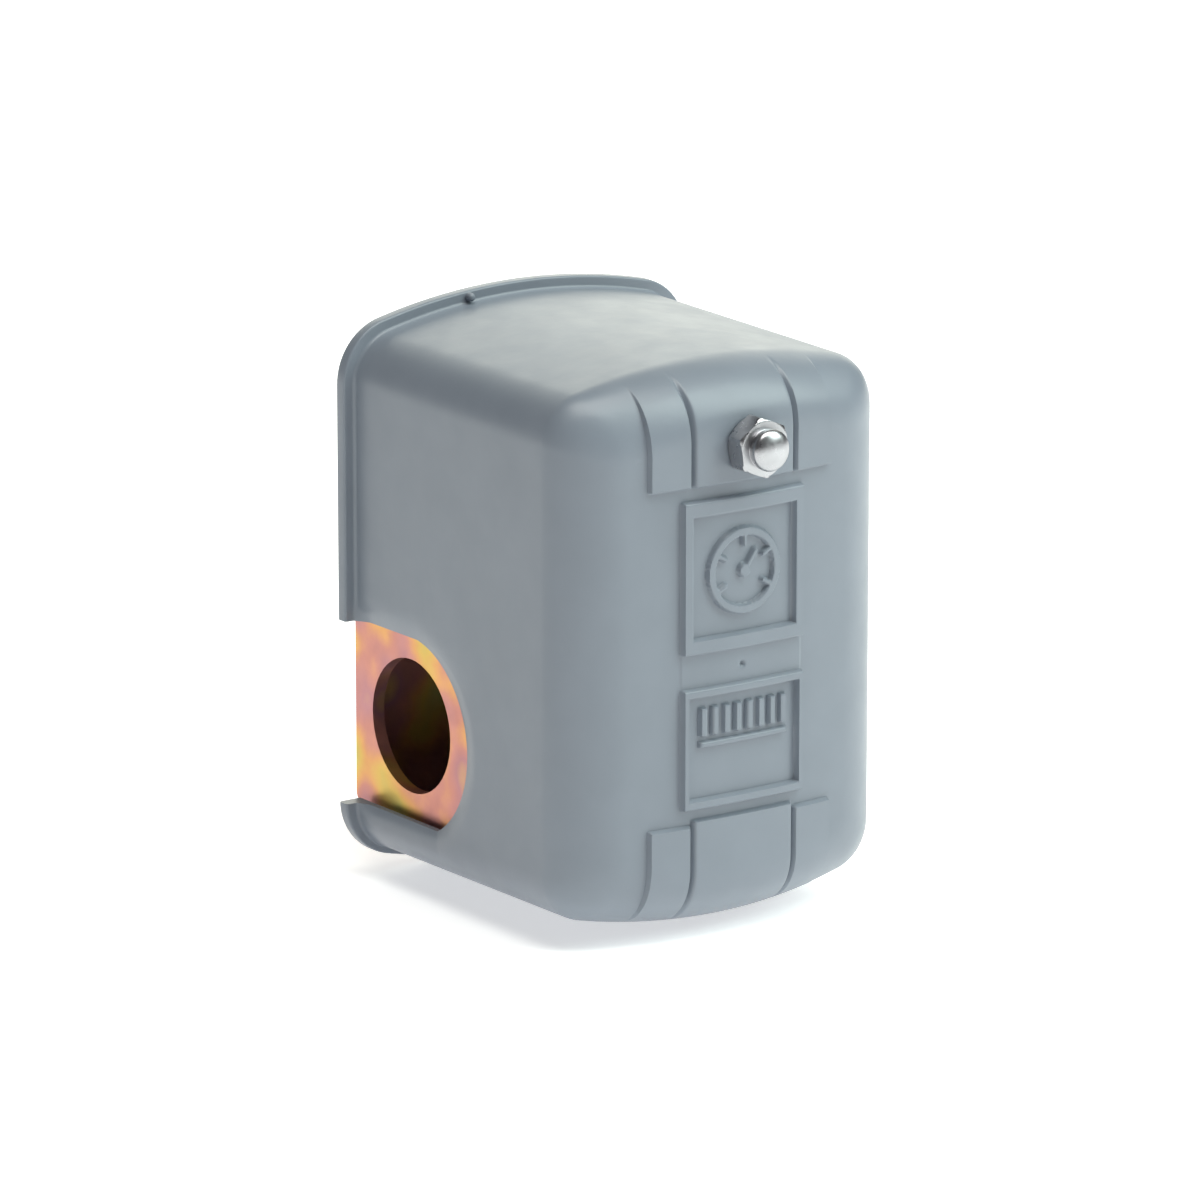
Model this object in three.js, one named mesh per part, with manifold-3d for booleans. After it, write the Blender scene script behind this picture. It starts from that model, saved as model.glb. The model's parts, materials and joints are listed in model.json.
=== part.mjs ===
// A well-pump pressure switch: a diaphragm tilts a spring-loaded plate, which rocks a contact
// carrier under a terminal block, all inside a drawn steel cover held by one cap nut.
// Millimetres. The origin is the centre of the pressure port's mouth. The port points along +Y,
// the cover's face along -Y, and +Z runs from the conduit end up to the spring end.
import * as THREE from "three";
import { mergeVertices } from "three/addons/utils/BufferGeometryUtils.js";
import Module from "manifold-3d";

const wasm = await Module();
wasm.setup();

// ---- driving dimensions ----

const GAP = 0.3; // air between two pieces that touch
const ROUND = 24; // sides of a round piece
const SMALL_ROUND = 12; // sides of a small round piece

// base frame: a stamped plate with a conduit ear folded up on each side
const BASE_BACK = -25;
const SHEET = 2; // sheet steel thickness
const BASE_FRONT = BASE_BACK - SHEET;
const BASE_HALF_WIDTH = 28.5;
const BASE_TOP = 30;
const BASE_BOTTOM = -50;
const EAR_TOP = -4.5;
const EAR_BOTTOM = -47.5;
const EAR_HEIGHT = 37.5; // at the conduit hole, above the base plate
const CONDUIT_RADIUS = 11.1; // trade knockout for half-inch conduit, 22.2 across
const CONDUIT_HEIGHT = 14.3;
const CONDUIT_Z = -31.45;
const SEAT_RADIUS = 13.3; // flat top of the low coined seat around the conduit hole
const SEAT_SLOPE = 0.6;
const SEAT_RAISE = 0.2;
const SHELF_INNER = 20; // the ear's top folds inwards to this x, to carry the terminal block

// cover
const COVER_BACK = -27.8;
const COVER_DEPTH = 64;
const COVER_FRONT = COVER_BACK - COVER_DEPTH;
const COVER_Z = -12; // middle of the cover, below the port's axis
const COVER_WIDTH = 62.57;
const COVER_HEIGHT = 91.1;
const COVER_SAG = 4.64; // how far the top and bottom drop from the middle to the sides
const COVER_CORNER = 8.27;
const FRONT_ROUND = 10.5; // radius of the edge around the face
const FACE_BOW = 3.25; // how far the face's sides lie behind its middle
const COVER_DRAFT = 0.39; // how far each side leans out towards the back
const COVER_WALL = 2;
const RIM_SIDE = 2.07;
const RIM_TOP = 1.98;
const RIM_BOTTOM = 1.14;
const RIM_THICK = 2.2;
const CUTOUT_TOP = -3.5; // the side cut-out's edges, from the cover's middle height
const CUTOUT_BOTTOM = -34.4;
const CUTOUT_RADIUS = 18.75;
const CUTOUT_CENTRE_DEPTH = 50;
const CUTOUT_CENTRE_Z = -19.3;

// raised figures on the cover's face, from the face's middle
const RELIEF = 0.8;
const BAND_HALF_WIDTH = 17.5;
const BAND_GROOVE = 9.8;
const BAND_EDGE = 27.4;
const GROOVE_WIDTH = 0.7;
const PANEL_HALF_WIDTH = 11.6;

// range stud, spring and nut: the stud goes on through the cover and takes the cap nut
const RANGE_X = 0.7;
const RANGE_Z = 21.2;
const RANGE_STUD_RADIUS = 3.1;
const COVER_STUD_RADIUS = 2.05;
const RANGE_STUD_STEP = 56; // height where the stud steps down
const RANGE_STUD_TIP = 70.3;
const RANGE_SPRING_RADIUS = 8;
const RANGE_WIRE = 1.15;
const RANGE_TURNS = 7;
const RANGE_SEAT_HEIGHT = 41.5;
const CAP_NUT_FLATS = 8.73;
const CAP_NUT_TURN = 8; // degrees from a corner straight up
const CAP_HEX_THICK = 3.8;
const CAP_NECK = 1.5; // straight part between the hexagon and the dome
const CAP_DOME_RADIUS = 3.35;
const CAP_DOME_RISE = 1.5;

// differential stud, spring and nut
const DIFF_X = 17;
const DIFF_Z = 14.5;
const DIFF_STUD_RADIUS = 2.05;
const DIFF_STUD_TIP = 37;
const DIFF_SPRING_RADIUS = 4.5;
const DIFF_WIRE = 0.7;
const DIFF_TURNS = 7;
const DIFF_SEAT_HEIGHT = 26;

// pressure plate and what lifts it
const PLATE_HEIGHT = 4; // underside above the base plate
const PLATE_THICK = 1.8;
const PLATE_HALF_WIDTH = 25.8;
const PIN_RADIUS = 1.6;
const PLATE_PIN_HEIGHT = 9;
const PLATE_PIN_Z = -10.5;
const PISTON_RADIUS = 13;
const PISTON_STEM_RADIUS = 6;
const HOUSING_RADIUS = 22;
const HOUSING_SCREW_CIRCLE = 18.3;
const HOUSING_SCREWS = 6;
const DIAPHRAGM_THICK = 1.1;
const PORT_FLATS = 17.5;
const PORT_BORE_RADIUS = 5.55; // pilot of a quarter-inch pipe thread
const PORT_NECK_RADIUS = 9.2;
const CHAMBER_RADIUS = 13.2; // widest part of the space under the diaphragm
const CHAMBER_FLOOR = -17.4;
const HEX_BACK = -12; // where the port's hexagon leaves the cast cup

// contacts
const CARRIER_PIN_HEIGHT = 40;
const CARRIER_PIN_Z = -9.5;
const CONTACT_Z = -19;
const CONTACT_PITCH = 10.4; // between two neighbouring terminals
const BAR_HEIGHT = 41.8;
const CONTACT_SPRING_RADIUS = 2.2;
const CARRIER_BED = 36; // top of the carrier's cross bar
const CARRIER_HALF_WIDTH = 22;
const CARRIER_WALL = 3;
const TOGGLE_Z = -3; // the spring between pressure plate and carrier
const TOGGLE_TOP = 37;
const TOGGLE_RADIUS = 2.9;
const TOGGLE_WIRE = 0.5;
const BUTTON_RADIUS = 1.8; // silver contact buttons

// terminal block
const BLOCK_BASE = EAR_HEIGHT + GAP;
const BLOCK_TOP = 50;
const BLOCK_HALF_WIDTH = 21.2;
const BLOCK_INNER_Z = -24;
const BLOCK_OUTER_Z = -48.5;
const TERMINAL_Z = -39.5;
const TERMINALS = [-1.5, -0.5, 0.5, 1.5].map((step) => step * CONTACT_PITCH);

// ---- materials ----

const finish = (color, roughness, metalness) =>
  new THREE.MeshStandardMaterial({ color, roughness, metalness });

const grayEnamel = finish(0x8b929c, 0.45, 0.1);
const yellowZinc = finish(0xc9a45c, 0.35, 0.9);
const brightZinc = finish(0xb9bcc0, 0.3, 1.0);
const springSteel = finish(0x8a8c90, 0.35, 1.0);
const brass = finish(0xc7a252, 0.35, 1.0);
const blackPhenolic = finish(0x202022, 0.6, 0.0);
const whiteNylon = finish(0xd8d5cc, 0.55, 0.0);
const rubber = finish(0x1b1b1b, 0.8, 0.0);
const greenDye = finish(0x2f7a4a, 0.4, 0.7);

// ---- making, joining and cutting solids ----

function signedVolume(positions, triangles) {
  const corner = [0, 1, 2].map(() => new THREE.Vector3());
  let total = 0;
  for (let i = 0; i < triangles.length; i += 3) {
    corner.forEach((c, k) => c.fromArray(positions, triangles[i + k] * 3));
    total += corner[0].dot(corner[1].cross(corner[2])) / 6;
  }
  return total;
}

// A closed three.js geometry as a solid with its faces pointing out.
function solidFrom(geometry) {
  const bare = geometry.clone();
  bare.deleteAttribute("normal");
  bare.deleteAttribute("uv");
  const merged = mergeVertices(bare, 1e-4);
  const vertProperties = merged.getAttribute("position").array;
  const triVerts = Uint32Array.from(merged.index.array);
  if (signedVolume(vertProperties, triVerts) < 0) {
    triVerts.reverse();
  }
  return new wasm.Manifold(new wasm.Mesh({ numProp: 3, vertProperties, triVerts }));
}

const join = (...solids) => solids.reduce((whole, next) => whole.add(next));
const cut = (solid, ...tools) => tools.reduce((left, tool) => left.subtract(tool), solid);

function geometryFrom(solid) {
  const { vertProperties, triVerts } = solid.getMesh();
  const geometry = new THREE.BufferGeometry();
  geometry.setAttribute("position", new THREE.BufferAttribute(vertProperties, 3));
  geometry.setIndex(new THREE.BufferAttribute(triVerts, 1));
  geometry.computeVertexNormals();
  return geometry;
}

const assembly = new THREE.Group();

function place(name, solid, material) {
  const mesh = new THREE.Mesh(geometryFrom(solid), material);
  mesh.name = name;
  assembly.add(mesh);
}

// ---- basic shapes ----

// The y of a plane at some height above the base plate's front face.
const above = (height) => BASE_FRONT - height;

function box([x0, x1], [y0, y1], [z0, z1]) {
  const geometry = new THREE.BoxGeometry(Math.abs(x1 - x0), Math.abs(y1 - y0), Math.abs(z1 - z0));
  geometry.translate((x0 + x1) / 2, (y0 + y1) / 2, (z0 + z1) / 2);
  return solidFrom(geometry);
}

// A solid of revolution about a line along Y, from [radius, y] points that start and end on it.
function turned(profile, x, z, sides = ROUND) {
  const points = profile.map(([radius, y]) => new THREE.Vector2(radius, y));
  const geometry = new THREE.LatheGeometry(points, sides);
  geometry.translate(x, 0, z);
  return solidFrom(geometry);
}

const disc = (radius, y0, y1, x, z, sides = ROUND) =>
  turned([[0, y0], [radius, y0], [radius, y1], [0, y1]], x, z, sides);

// A round bar along X.
function crossBar(radius, x0, x1, y, z, sides = SMALL_ROUND) {
  const geometry = new THREE.CylinderGeometry(radius, radius, Math.abs(x1 - x0), sides);
  geometry.rotateZ(Math.PI / 2);
  geometry.translate((x0 + x1) / 2, y, z);
  return solidFrom(geometry);
}

// Outline points with each corner rounded off.
function roundedShape(corners, radius) {
  const shape = new THREE.Shape();
  const points = corners.map(([u, v]) => new THREE.Vector2(u, v));
  points.forEach((point, i) => {
    const before = points[(i + points.length - 1) % points.length];
    const after = points[(i + 1) % points.length];
    const from = before.clone().sub(point).setLength(radius).add(point);
    const to = after.clone().sub(point).setLength(radius).add(point);
    if (i === 0) {
      shape.moveTo(from.x, from.y);
    } else {
      shape.lineTo(from.x, from.y);
    }
    shape.quadraticCurveTo(point.x, point.y, to.x, to.y);
  });
  shape.closePath();
  return shape;
}

const rectangle = (u0, u1, v0, v1) => [[u0, v0], [u1, v0], [u1, v1], [u0, v1]];

const polygon = (corners) => new THREE.Shape(corners.map(([u, v]) => new THREE.Vector2(u, v)));

function extruded(shape, depth, curveSegments) {
  return new THREE.ExtrudeGeometry(shape, { depth, bevelEnabled: false, curveSegments });
}

// An (x, z) outline pushed from y0 to y1.
function prismY(shape, y0, y1, curveSegments = 5) {
  const geometry = extruded(shape, Math.abs(y1 - y0), curveSegments);
  geometry.rotateX(Math.PI / 2);
  geometry.translate(0, Math.max(y0, y1), 0);
  return solidFrom(geometry);
}

// A (y, z) outline pushed from x0 to x1.
function prismX(shape, x0, x1, curveSegments = 5) {
  const geometry = extruded(shape, Math.abs(x1 - x0), curveSegments);
  const basis = new THREE.Matrix4();
  basis.makeBasis(
    new THREE.Vector3(0, 1, 0),
    new THREE.Vector3(0, 0, 1),
    new THREE.Vector3(1, 0, 0),
  );
  geometry.applyMatrix4(basis);
  geometry.translate(Math.min(x0, x1), 0, 0);
  return solidFrom(geometry);
}

// A hexagonal bar along Y, measured across its flats.
function hexBar(flats, y0, y1, x, z, turn = 0) {
  const corners = [0, 1, 2, 3, 4, 5].map((i) => {
    const angle = THREE.MathUtils.degToRad(turn + 90 + 60 * i);
    const reach = flats / Math.sqrt(3);
    return [x + reach * Math.cos(angle), z + reach * Math.sin(angle)];
  });
  return prismY(polygon(corners), y0, y1);
}

// A compression spring along Y whose first and last turns lie flat.
class SpringLine extends THREE.Curve {
  constructor(radius, turns, wire, y0, y1, x, z) {
    super();
    Object.assign(this, { radius, turns, wire, y0, y1, x, z });
  }

  getPoint(t, target = new THREE.Vector3()) {
    const angle = 2 * Math.PI * this.turns * t;
    const closed = 0.85 / this.turns;
    const open = THREE.MathUtils.clamp((t - closed) / (1 - 2 * closed), 0, 1);
    const flat = 2.3 * this.wire * (Math.min(t, closed) + Math.max(t - 1 + closed, 0));
    const ends = 2.3 * this.wire * 2 * closed;
    const span = this.y1 - this.y0;
    const climb = Math.sign(span) * flat * this.turns;
    const rest = span - Math.sign(span) * ends * this.turns;
    return target.set(
      this.x + this.radius * Math.cos(angle),
      this.y0 + climb + rest * open,
      this.z + this.radius * Math.sin(angle),
    );
  }
}

function spring({ radius, wire, turns, from, to, x, z, stepsPerTurn = 12, sides = 6 }) {
  const direction = Math.sign(to - from);
  const line = new SpringLine(
    radius, turns, wire, from + direction * wire, to - direction * wire, x, z,
  );
  const section = polygon(
    Array.from({ length: sides }, (_, i) => {
      const angle = (2 * Math.PI * i) / sides;
      return [wire * Math.cos(angle), wire * Math.sin(angle)];
    }),
  );
  const geometry = new THREE.ExtrudeGeometry(section, {
    steps: Math.round(turns * stepsPerTurn),
    extrudePath: line,
    bevelEnabled: false,
  });
  return solidFrom(geometry);
}

// ---- cover ----

// One closed line around the cover at a given inset: straight sides, bowed top and bottom, and
// round corners, as [x, z] points about the cover's middle.
function coverLine(halfWidth, halfTop, halfBottom, sag, corner) {
  const cornerSteps = 4;
  const bowSteps = 4;
  const line = [];
  const quarter = (halfHeight, right, up) => {
    const bowRadius = (halfWidth ** 2 + sag ** 2) / (2 * sag);
    const bowZ = halfHeight - bowRadius;
    const cornerX = halfWidth - corner;
    const cornerZ = bowZ + Math.sqrt((bowRadius - corner) ** 2 - cornerX ** 2);
    const meet = Math.atan2(cornerZ - bowZ, cornerX);
    const points = [];
    for (let i = 0; i <= cornerSteps; i += 1) {
      const angle = (meet * i) / cornerSteps;
      points.push([cornerX + corner * Math.cos(angle), cornerZ + corner * Math.sin(angle)]);
    }
    for (let i = 1; i < bowSteps; i += 1) {
      const angle = meet + ((Math.PI / 2 - meet) * i) / bowSteps;
      points.push([bowRadius * Math.cos(angle), bowZ + bowRadius * Math.sin(angle)]);
    }
    const mirrored = points.map(([x, z]) => [right * x, up * z]);
    return right * up > 0 ? mirrored : mirrored.reverse();
  };
  line.push(...quarter(halfTop, 1, 1));
  line.push([0, halfTop]);
  line.push(...quarter(halfTop, -1, 1));
  line.push(...quarter(halfBottom, -1, -1));
  line.push([0, -halfBottom]);
  line.push(...quarter(halfBottom, 1, -1));
  return line;
}

// Points of the cover's skin at one stage from the face's middle to the back. The skin can be
// moved in or out by an offset: 0 is the outside, -COVER_WALL the inside.
function coverRing(depth, inset, offset, faceShare, rim = 0) {
  const draft = COVER_DRAFT * Math.max(0, (depth - FRONT_ROUND) / (COVER_DEPTH - FRONT_ROUND));
  const grow = draft + offset - inset;
  const halfWidth = COVER_WIDTH / 2 + grow + RIM_SIDE * rim;
  const halfTop = COVER_HEIGHT / 2 + grow + RIM_TOP * rim;
  const halfBottom = COVER_HEIGHT / 2 + grow + RIM_BOTTOM * rim;
  const sag = COVER_SAG * (halfWidth / (COVER_WIDTH / 2));
  const corner = (COVER_CORNER + offset) * (1 - (0.8 * inset) / (FRONT_ROUND + offset)) + rim;
  return coverLine(halfWidth, halfTop, halfBottom, sag, corner).map(([x, z]) => {
    const bow = FACE_BOW * ((2 * x) / COVER_WIDTH) ** 2 * faceShare;
    return new THREE.Vector3(x, COVER_FRONT + depth - offset * faceShare + bow, COVER_Z + z);
  });
}

// The rings from the face's middle, over the rounded edge, to the back.
function coverRings(offset, back) {
  const roundSteps = 4;
  const radius = FRONT_ROUND + offset;
  const rings = [];
  for (let i = 0; i <= roundSteps; i += 1) {
    const angle = (Math.PI / 2) * (i / roundSteps);
    const depth = radius * (1 - Math.cos(angle)) - offset * (1 - Math.cos(angle));
    rings.push(coverRing(depth, radius * (1 - Math.sin(angle)), offset, Math.cos(angle)));
  }
  rings.push(...back);
  const face = rings[0];
  const inner = [0.3, 0.65].map((share) =>
    face.map((p) => {
      const x = p.x * share;
      const bow = FACE_BOW * ((2 * x) / COVER_WIDTH) ** 2;
      return new THREE.Vector3(x, COVER_FRONT - offset + bow, COVER_Z + (p.z - COVER_Z) * share);
    }),
  );
  return [...inner, ...rings];
}

// A closed solid through a stack of rings of equal length, with a flat fan at each end.
function lofted(rings) {
  const count = rings[0].length;
  const positions = rings.flat().flatMap((p) => [p.x, p.y, p.z]);
  const middle = (ring) =>
    ring.reduce((sum, p) => sum.add(p), new THREE.Vector3()).divideScalar(ring.length);
  const first = middle(rings[0]);
  const last = middle(rings[rings.length - 1]);
  first.y = Math.min(...rings[0].map((p) => p.y));
  positions.push(first.x, first.y, first.z, last.x, last.y, last.z);
  const firstIndex = count * rings.length;
  const triangles = [];
  for (let i = 0; i < count; i += 1) {
    const next = (i + 1) % count;
    for (let r = 0; r + 1 < rings.length; r += 1) {
      const [a, b] = [r * count + i, r * count + next];
      const [c, d] = [a + count, b + count];
      triangles.push(a, b, c, b, d, c);
    }
    const start = (rings.length - 1) * count;
    triangles.push(firstIndex, next, i);
    triangles.push(firstIndex + 1, start + i, start + next);
  }
  const geometry = new THREE.BufferGeometry();
  geometry.setAttribute("position", new THREE.Float32BufferAttribute(positions, 3));
  geometry.setIndex(triangles);
  return solidFrom(geometry);
}

function coverBody(offset, withRim) {
  const rimStart = COVER_DEPTH - RIM_THICK;
  const back = withRim
    ? [
        coverRing(rimStart - 1, 0, offset, 0),
        coverRing(rimStart, 0, offset, 0, 1),
        coverRing(COVER_DEPTH, 0, offset, 0, 1),
      ]
    : [coverRing(COVER_DEPTH + 1, 0, offset, 0)];
  return lofted(coverRings(offset, back));
}

// Flat figures on the face: each is cut from a slightly larger body, so that it follows the face.
function coverRelief() {
  const grown = coverBody(RELIEF, false);
  const reach = [COVER_FRONT - 2 * RELIEF, COVER_FRONT + FRONT_ROUND];
  const pad = (x0, x1, z0, z1) =>
    prismY(polygon(rectangle(x0, x1, COVER_Z + z0, COVER_Z + z1)), ...reach);
  const border = (x, z0, z1, thick) =>
    cut(pad(-x, x, z0, z1), pad(thick - x, x - thick, z0 + 1.5 * thick, z1 - 1.5 * thick));
  const figures = [
    border(PANEL_HALF_WIDTH, 0.5, 25.1, 1.5),
    border(PANEL_HALF_WIDTH, -24.7, -5.2, 1),
  ];
  for (const side of [1, -1]) {
    const far = side * COVER_HEIGHT * 0.55;
    const near = side * BAND_EDGE;
    const inner = BAND_GROOVE - GROOVE_WIDTH / 2;
    figures.push(pad(-inner, inner, near, far));
    for (const x of [-1, 1]) {
      const [low, high] = [BAND_GROOVE + GROOVE_WIDTH / 2, BAND_HALF_WIDTH].map((edge) => x * edge);
      figures.push(pad(low, high, near, far));
    }
  }
  return figures.map((figure) => figure.intersect(grown));
}

function coverCutout(side) {
  const centre = COVER_FRONT + CUTOUT_CENTRE_DEPTH;
  const top = COVER_Z + CUTOUT_TOP;
  const bottom = COVER_Z + CUTOUT_BOTTOM;
  const centreZ = COVER_Z + CUTOUT_CENTRE_Z;
  const angleAt = (z) => Math.PI - Math.asin((z - centreZ) / CUTOUT_RADIUS);
  const shape = new THREE.Shape();
  shape.moveTo(COVER_BACK + 5, top);
  shape.lineTo(centre + CUTOUT_RADIUS * Math.cos(angleAt(top)), top);
  shape.absarc(centre, centreZ, CUTOUT_RADIUS, angleAt(top), angleAt(bottom), false);
  shape.lineTo(COVER_BACK + 5, bottom);
  shape.closePath();
  return prismX(shape, side * (COVER_WIDTH / 2 - 5), side * (COVER_WIDTH / 2 + 5), 14);
}

function cover() {
  const cavity = coverBody(-COVER_WALL, false);
  const shell = join(coverBody(0, true), ...coverRelief());
  const studHole = disc(2.6, COVER_FRONT - 5, COVER_FRONT + 5, RANGE_X, RANGE_Z, SMALL_ROUND);
  return cut(shell, cavity, coverCutout(1), coverCutout(-1), studHole);
}

function capNut() {
  const back = COVER_FRONT - RELIEF - GAP;
  const front = back - CAP_HEX_THICK;
  const dome = front - CAP_NECK;
  const corner = CAP_NUT_FLATS / Math.sqrt(3);
  const chamfer = turned(
    [
      [0, back], [corner - 0.5, back], [corner, back - 0.5], [corner, front + 0.7],
      [corner - 1, front], [0, front],
    ],
    RANGE_X, RANGE_Z,
  );
  const hex = hexBar(CAP_NUT_FLATS, back, front, RANGE_X, RANGE_Z, CAP_NUT_TURN).intersect(chamfer);
  const end = [[0, front + 1], [CAP_DOME_RADIUS, front + 1]];
  const domeSteps = 5;
  for (let i = 0; i < domeSteps; i += 1) {
    const angle = (Math.PI / 2) * (i / domeSteps);
    end.push([CAP_DOME_RADIUS * Math.cos(angle), dome - CAP_DOME_RISE * Math.sin(angle)]);
  }
  end.push([0, dome - CAP_DOME_RISE]);
  const bore = disc(
    COVER_STUD_RADIUS + GAP, back + 1, above(RANGE_STUD_TIP) - GAP, RANGE_X, RANGE_Z, SMALL_ROUND,
  );
  return cut(join(hex, turned(end, RANGE_X, RANGE_Z)), bore);
}

// ---- base frame ----

const atBase = (radius, x, z) =>
  disc(radius, BASE_BACK + 1, BASE_FRONT - 1, x, z, SMALL_ROUND);

const housingScrewPlaces = Array.from({ length: HOUSING_SCREWS }, (_, i) => {
  const angle = (2 * Math.PI * i) / HOUSING_SCREWS;
  return [HOUSING_SCREW_CIRCLE * Math.cos(angle), HOUSING_SCREW_CIRCLE * Math.sin(angle)];
});

const GROUND_X = 6.5;
const GROUND_Z = -43;
const BLOCK_SCREW_X = 24;
const BLOCK_SCREW_Z = -34;
const SCREW_RADIUS = 1.7;
const EAR_NOTCHES = [-21.5, -39]; // small notches in the ear's back edge

// The low flat-topped ring around the conduit hole, where the connector's shoulder bears.
function conduitSeat(side) {
  const sides = 48;
  const outer = side * (BASE_HALF_WIDTH + SEAT_RAISE);
  const inner = side * (BASE_HALF_WIDTH - SHEET / 2);
  const wide = SEAT_RADIUS + (SEAT_SLOPE * (outer - inner)) / (side * SEAT_RAISE);
  const geometry = new THREE.CylinderGeometry(SEAT_RADIUS, wide, Math.abs(outer - inner), sides);
  geometry.rotateZ((-side * Math.PI) / 2);
  geometry.translate((inner + outer) / 2, above(CONDUIT_HEIGHT), CONDUIT_Z);
  return solidFrom(geometry);
}

function baseEar(side) {
  const outer = side * BASE_HALF_WIDTH;
  const inner = side * (BASE_HALF_WIDTH - SHEET);
  const low = above(EAR_HEIGHT);
  const high = above(CARRIER_PIN_HEIGHT + 4.5);
  const step = CARRIER_PIN_Z - 7;
  const outline = roundedShape(
    [
      [BASE_BACK, EAR_BOTTOM], [BASE_BACK, EAR_TOP], [high, EAR_TOP],
      [high, step], [low, step - 5], [low, EAR_BOTTOM],
    ],
    1.5,
  );
  const shelf = box(
    [side * SHELF_INNER, side * (BASE_HALF_WIDTH - 1)],
    [low, low + SHEET],
    [EAR_BOTTOM + 3, step - 8],
  );
  const through = [inner - side, outer + side];
  const pinHole = (height, z) => crossBar(PIN_RADIUS + GAP, ...through, above(height), z);
  const notches = EAR_NOTCHES.map((z) =>
    box(through, [BASE_BACK - 0.9, BASE_BACK + 1], [z - 1, z + 1]),
  );
  return cut(
    join(prismX(outline, inner, outer), shelf, conduitSeat(side)),
    crossBar(CONDUIT_RADIUS, ...through, above(CONDUIT_HEIGHT), CONDUIT_Z, 48),
    pinHole(PLATE_PIN_HEIGHT, PLATE_PIN_Z),
    pinHole(CARRIER_PIN_HEIGHT, CARRIER_PIN_Z),
    disc(SCREW_RADIUS + GAP, low - 1, low + SHEET + 1, side * BLOCK_SCREW_X, BLOCK_SCREW_Z, SMALL_ROUND),
    ...notches,
  );
}

function baseFrame() {
  const plate = prismY(
    roundedShape(rectangle(-BASE_HALF_WIDTH, BASE_HALF_WIDTH, BASE_BOTTOM, BASE_TOP), 6),
    BASE_BACK,
    BASE_FRONT,
  );
  return cut(
    join(plate, baseEar(1), baseEar(-1)),
    disc(PISTON_RADIUS + GAP, BASE_BACK + 1, BASE_FRONT - 1, 0, 0),
    atBase(RANGE_STUD_RADIUS + GAP, RANGE_X, RANGE_Z),
    atBase(DIFF_STUD_RADIUS + GAP, DIFF_X, DIFF_Z),
    ...housingScrewPlaces.map(([x, z]) => atBase(SCREW_RADIUS + GAP, x, z)),
    atBase(SCREW_RADIUS + GAP, GROUND_X, GROUND_Z),
    atBase(SCREW_RADIUS + GAP, -GROUND_X, GROUND_Z),
  );
}

// A clinched stud: its foot is flush in the base plate and its collar rests on it.
function stud(radius, tip, x, z, reduced) {
  const collar = radius + 1.6;
  const profile = [
    [0, BASE_BACK - GAP], [radius, BASE_BACK - GAP], [radius, BASE_FRONT - GAP],
    [collar, BASE_FRONT - GAP], [collar, above(2.2)], [radius, above(2.2)],
  ];
  if (reduced) {
    profile.push([radius, above(RANGE_STUD_STEP)], [reduced, above(RANGE_STUD_STEP + 1)]);
  }
  const top = reduced ?? radius;
  profile.push([top, above(tip - 0.6)], [top - 0.6, above(tip)], [0, above(tip)]);
  return turned(profile, x, z, SMALL_ROUND + 4);
}

const flushPin = (height, z) =>
  crossBar(PIN_RADIUS, GAP - BASE_HALF_WIDTH, BASE_HALF_WIDTH - GAP, above(height), z);

// ---- pressure side ----

function pressurePlate() {
  const bottom = PLATE_PIN_Z - 4;
  const shoulder = PLATE_PIN_Z + 7;
  const end = 9.4; // radius of the round end under the range spring
  const web = prismY(
    roundedShape(
      [
        [-PLATE_HALF_WIDTH, bottom], [PLATE_HALF_WIDTH, bottom], [PLATE_HALF_WIDTH, shoulder],
        [DIFF_X + 6, shoulder + 5], [DIFF_X + 6, DIFF_Z + 6], [RANGE_X + end, DIFF_Z + 6],
        [RANGE_X - end, DIFF_Z + 6], [RANGE_X - end - 2, shoulder + 5], [-PLATE_HALF_WIDTH, shoulder],
      ],
      2,
    ),
    above(PLATE_HEIGHT),
    above(PLATE_HEIGHT + PLATE_THICK),
  );
  const roundEnd = disc(end, above(PLATE_HEIGHT), above(PLATE_HEIGHT + PLATE_THICK), RANGE_X, RANGE_Z);
  const flange = (side) =>
    prismX(
      roundedShape(
        rectangle(above(PLATE_PIN_HEIGHT + 4.5), above(PLATE_HEIGHT), bottom, shoulder), 1.5,
      ),
      side * PLATE_HALF_WIDTH,
      side * (PLATE_HALF_WIDTH - PLATE_THICK),
    );
  const hole = (radius, x, z) =>
    disc(radius, above(PLATE_HEIGHT - 1), above(PLATE_HEIGHT + 3), x, z, SMALL_ROUND);
  return cut(
    join(web, roundEnd, flange(1), flange(-1)),
    crossBar(
      PIN_RADIUS + GAP, -BASE_HALF_WIDTH, BASE_HALF_WIDTH, above(PLATE_PIN_HEIGHT), PLATE_PIN_Z,
    ),
    hole(RANGE_STUD_RADIUS + 2, RANGE_X, RANGE_Z),
    hole(DIFF_STUD_RADIUS + 1.4, DIFF_X, DIFF_Z),
  );
}

function piston() {
  return turned(
    [
      [0, BASE_BACK + GAP], [PISTON_RADIUS, BASE_BACK + GAP], [PISTON_RADIUS, above(1)],
      [PISTON_STEM_RADIUS + 2, above(1.6)], [PISTON_STEM_RADIUS, above(PLATE_HEIGHT - GAP - 0.6)],
      [PISTON_STEM_RADIUS / 2, above(PLATE_HEIGHT - GAP)], [0, above(PLATE_HEIGHT - GAP)],
    ],
    0, 0,
  );
}

const DIAPHRAGM_FRONT = BASE_BACK + 2 * GAP;
const DIAPHRAGM_BACK = DIAPHRAGM_FRONT + DIAPHRAGM_THICK;
const HOUSING_FRONT = DIAPHRAGM_BACK + GAP;
const HOUSING_BACK = HOUSING_FRONT + 3.2;

function diaphragm() {
  const sheet = disc(HOUSING_RADIUS - 0.4, DIAPHRAGM_FRONT, DIAPHRAGM_BACK, 0, 0);
  const holes = housingScrewPlaces.map(([x, z]) =>
    disc(SCREW_RADIUS + GAP, DIAPHRAGM_FRONT - 1, DIAPHRAGM_BACK + 1, x, z, SMALL_ROUND),
  );
  return cut(sheet, ...holes);
}

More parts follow.
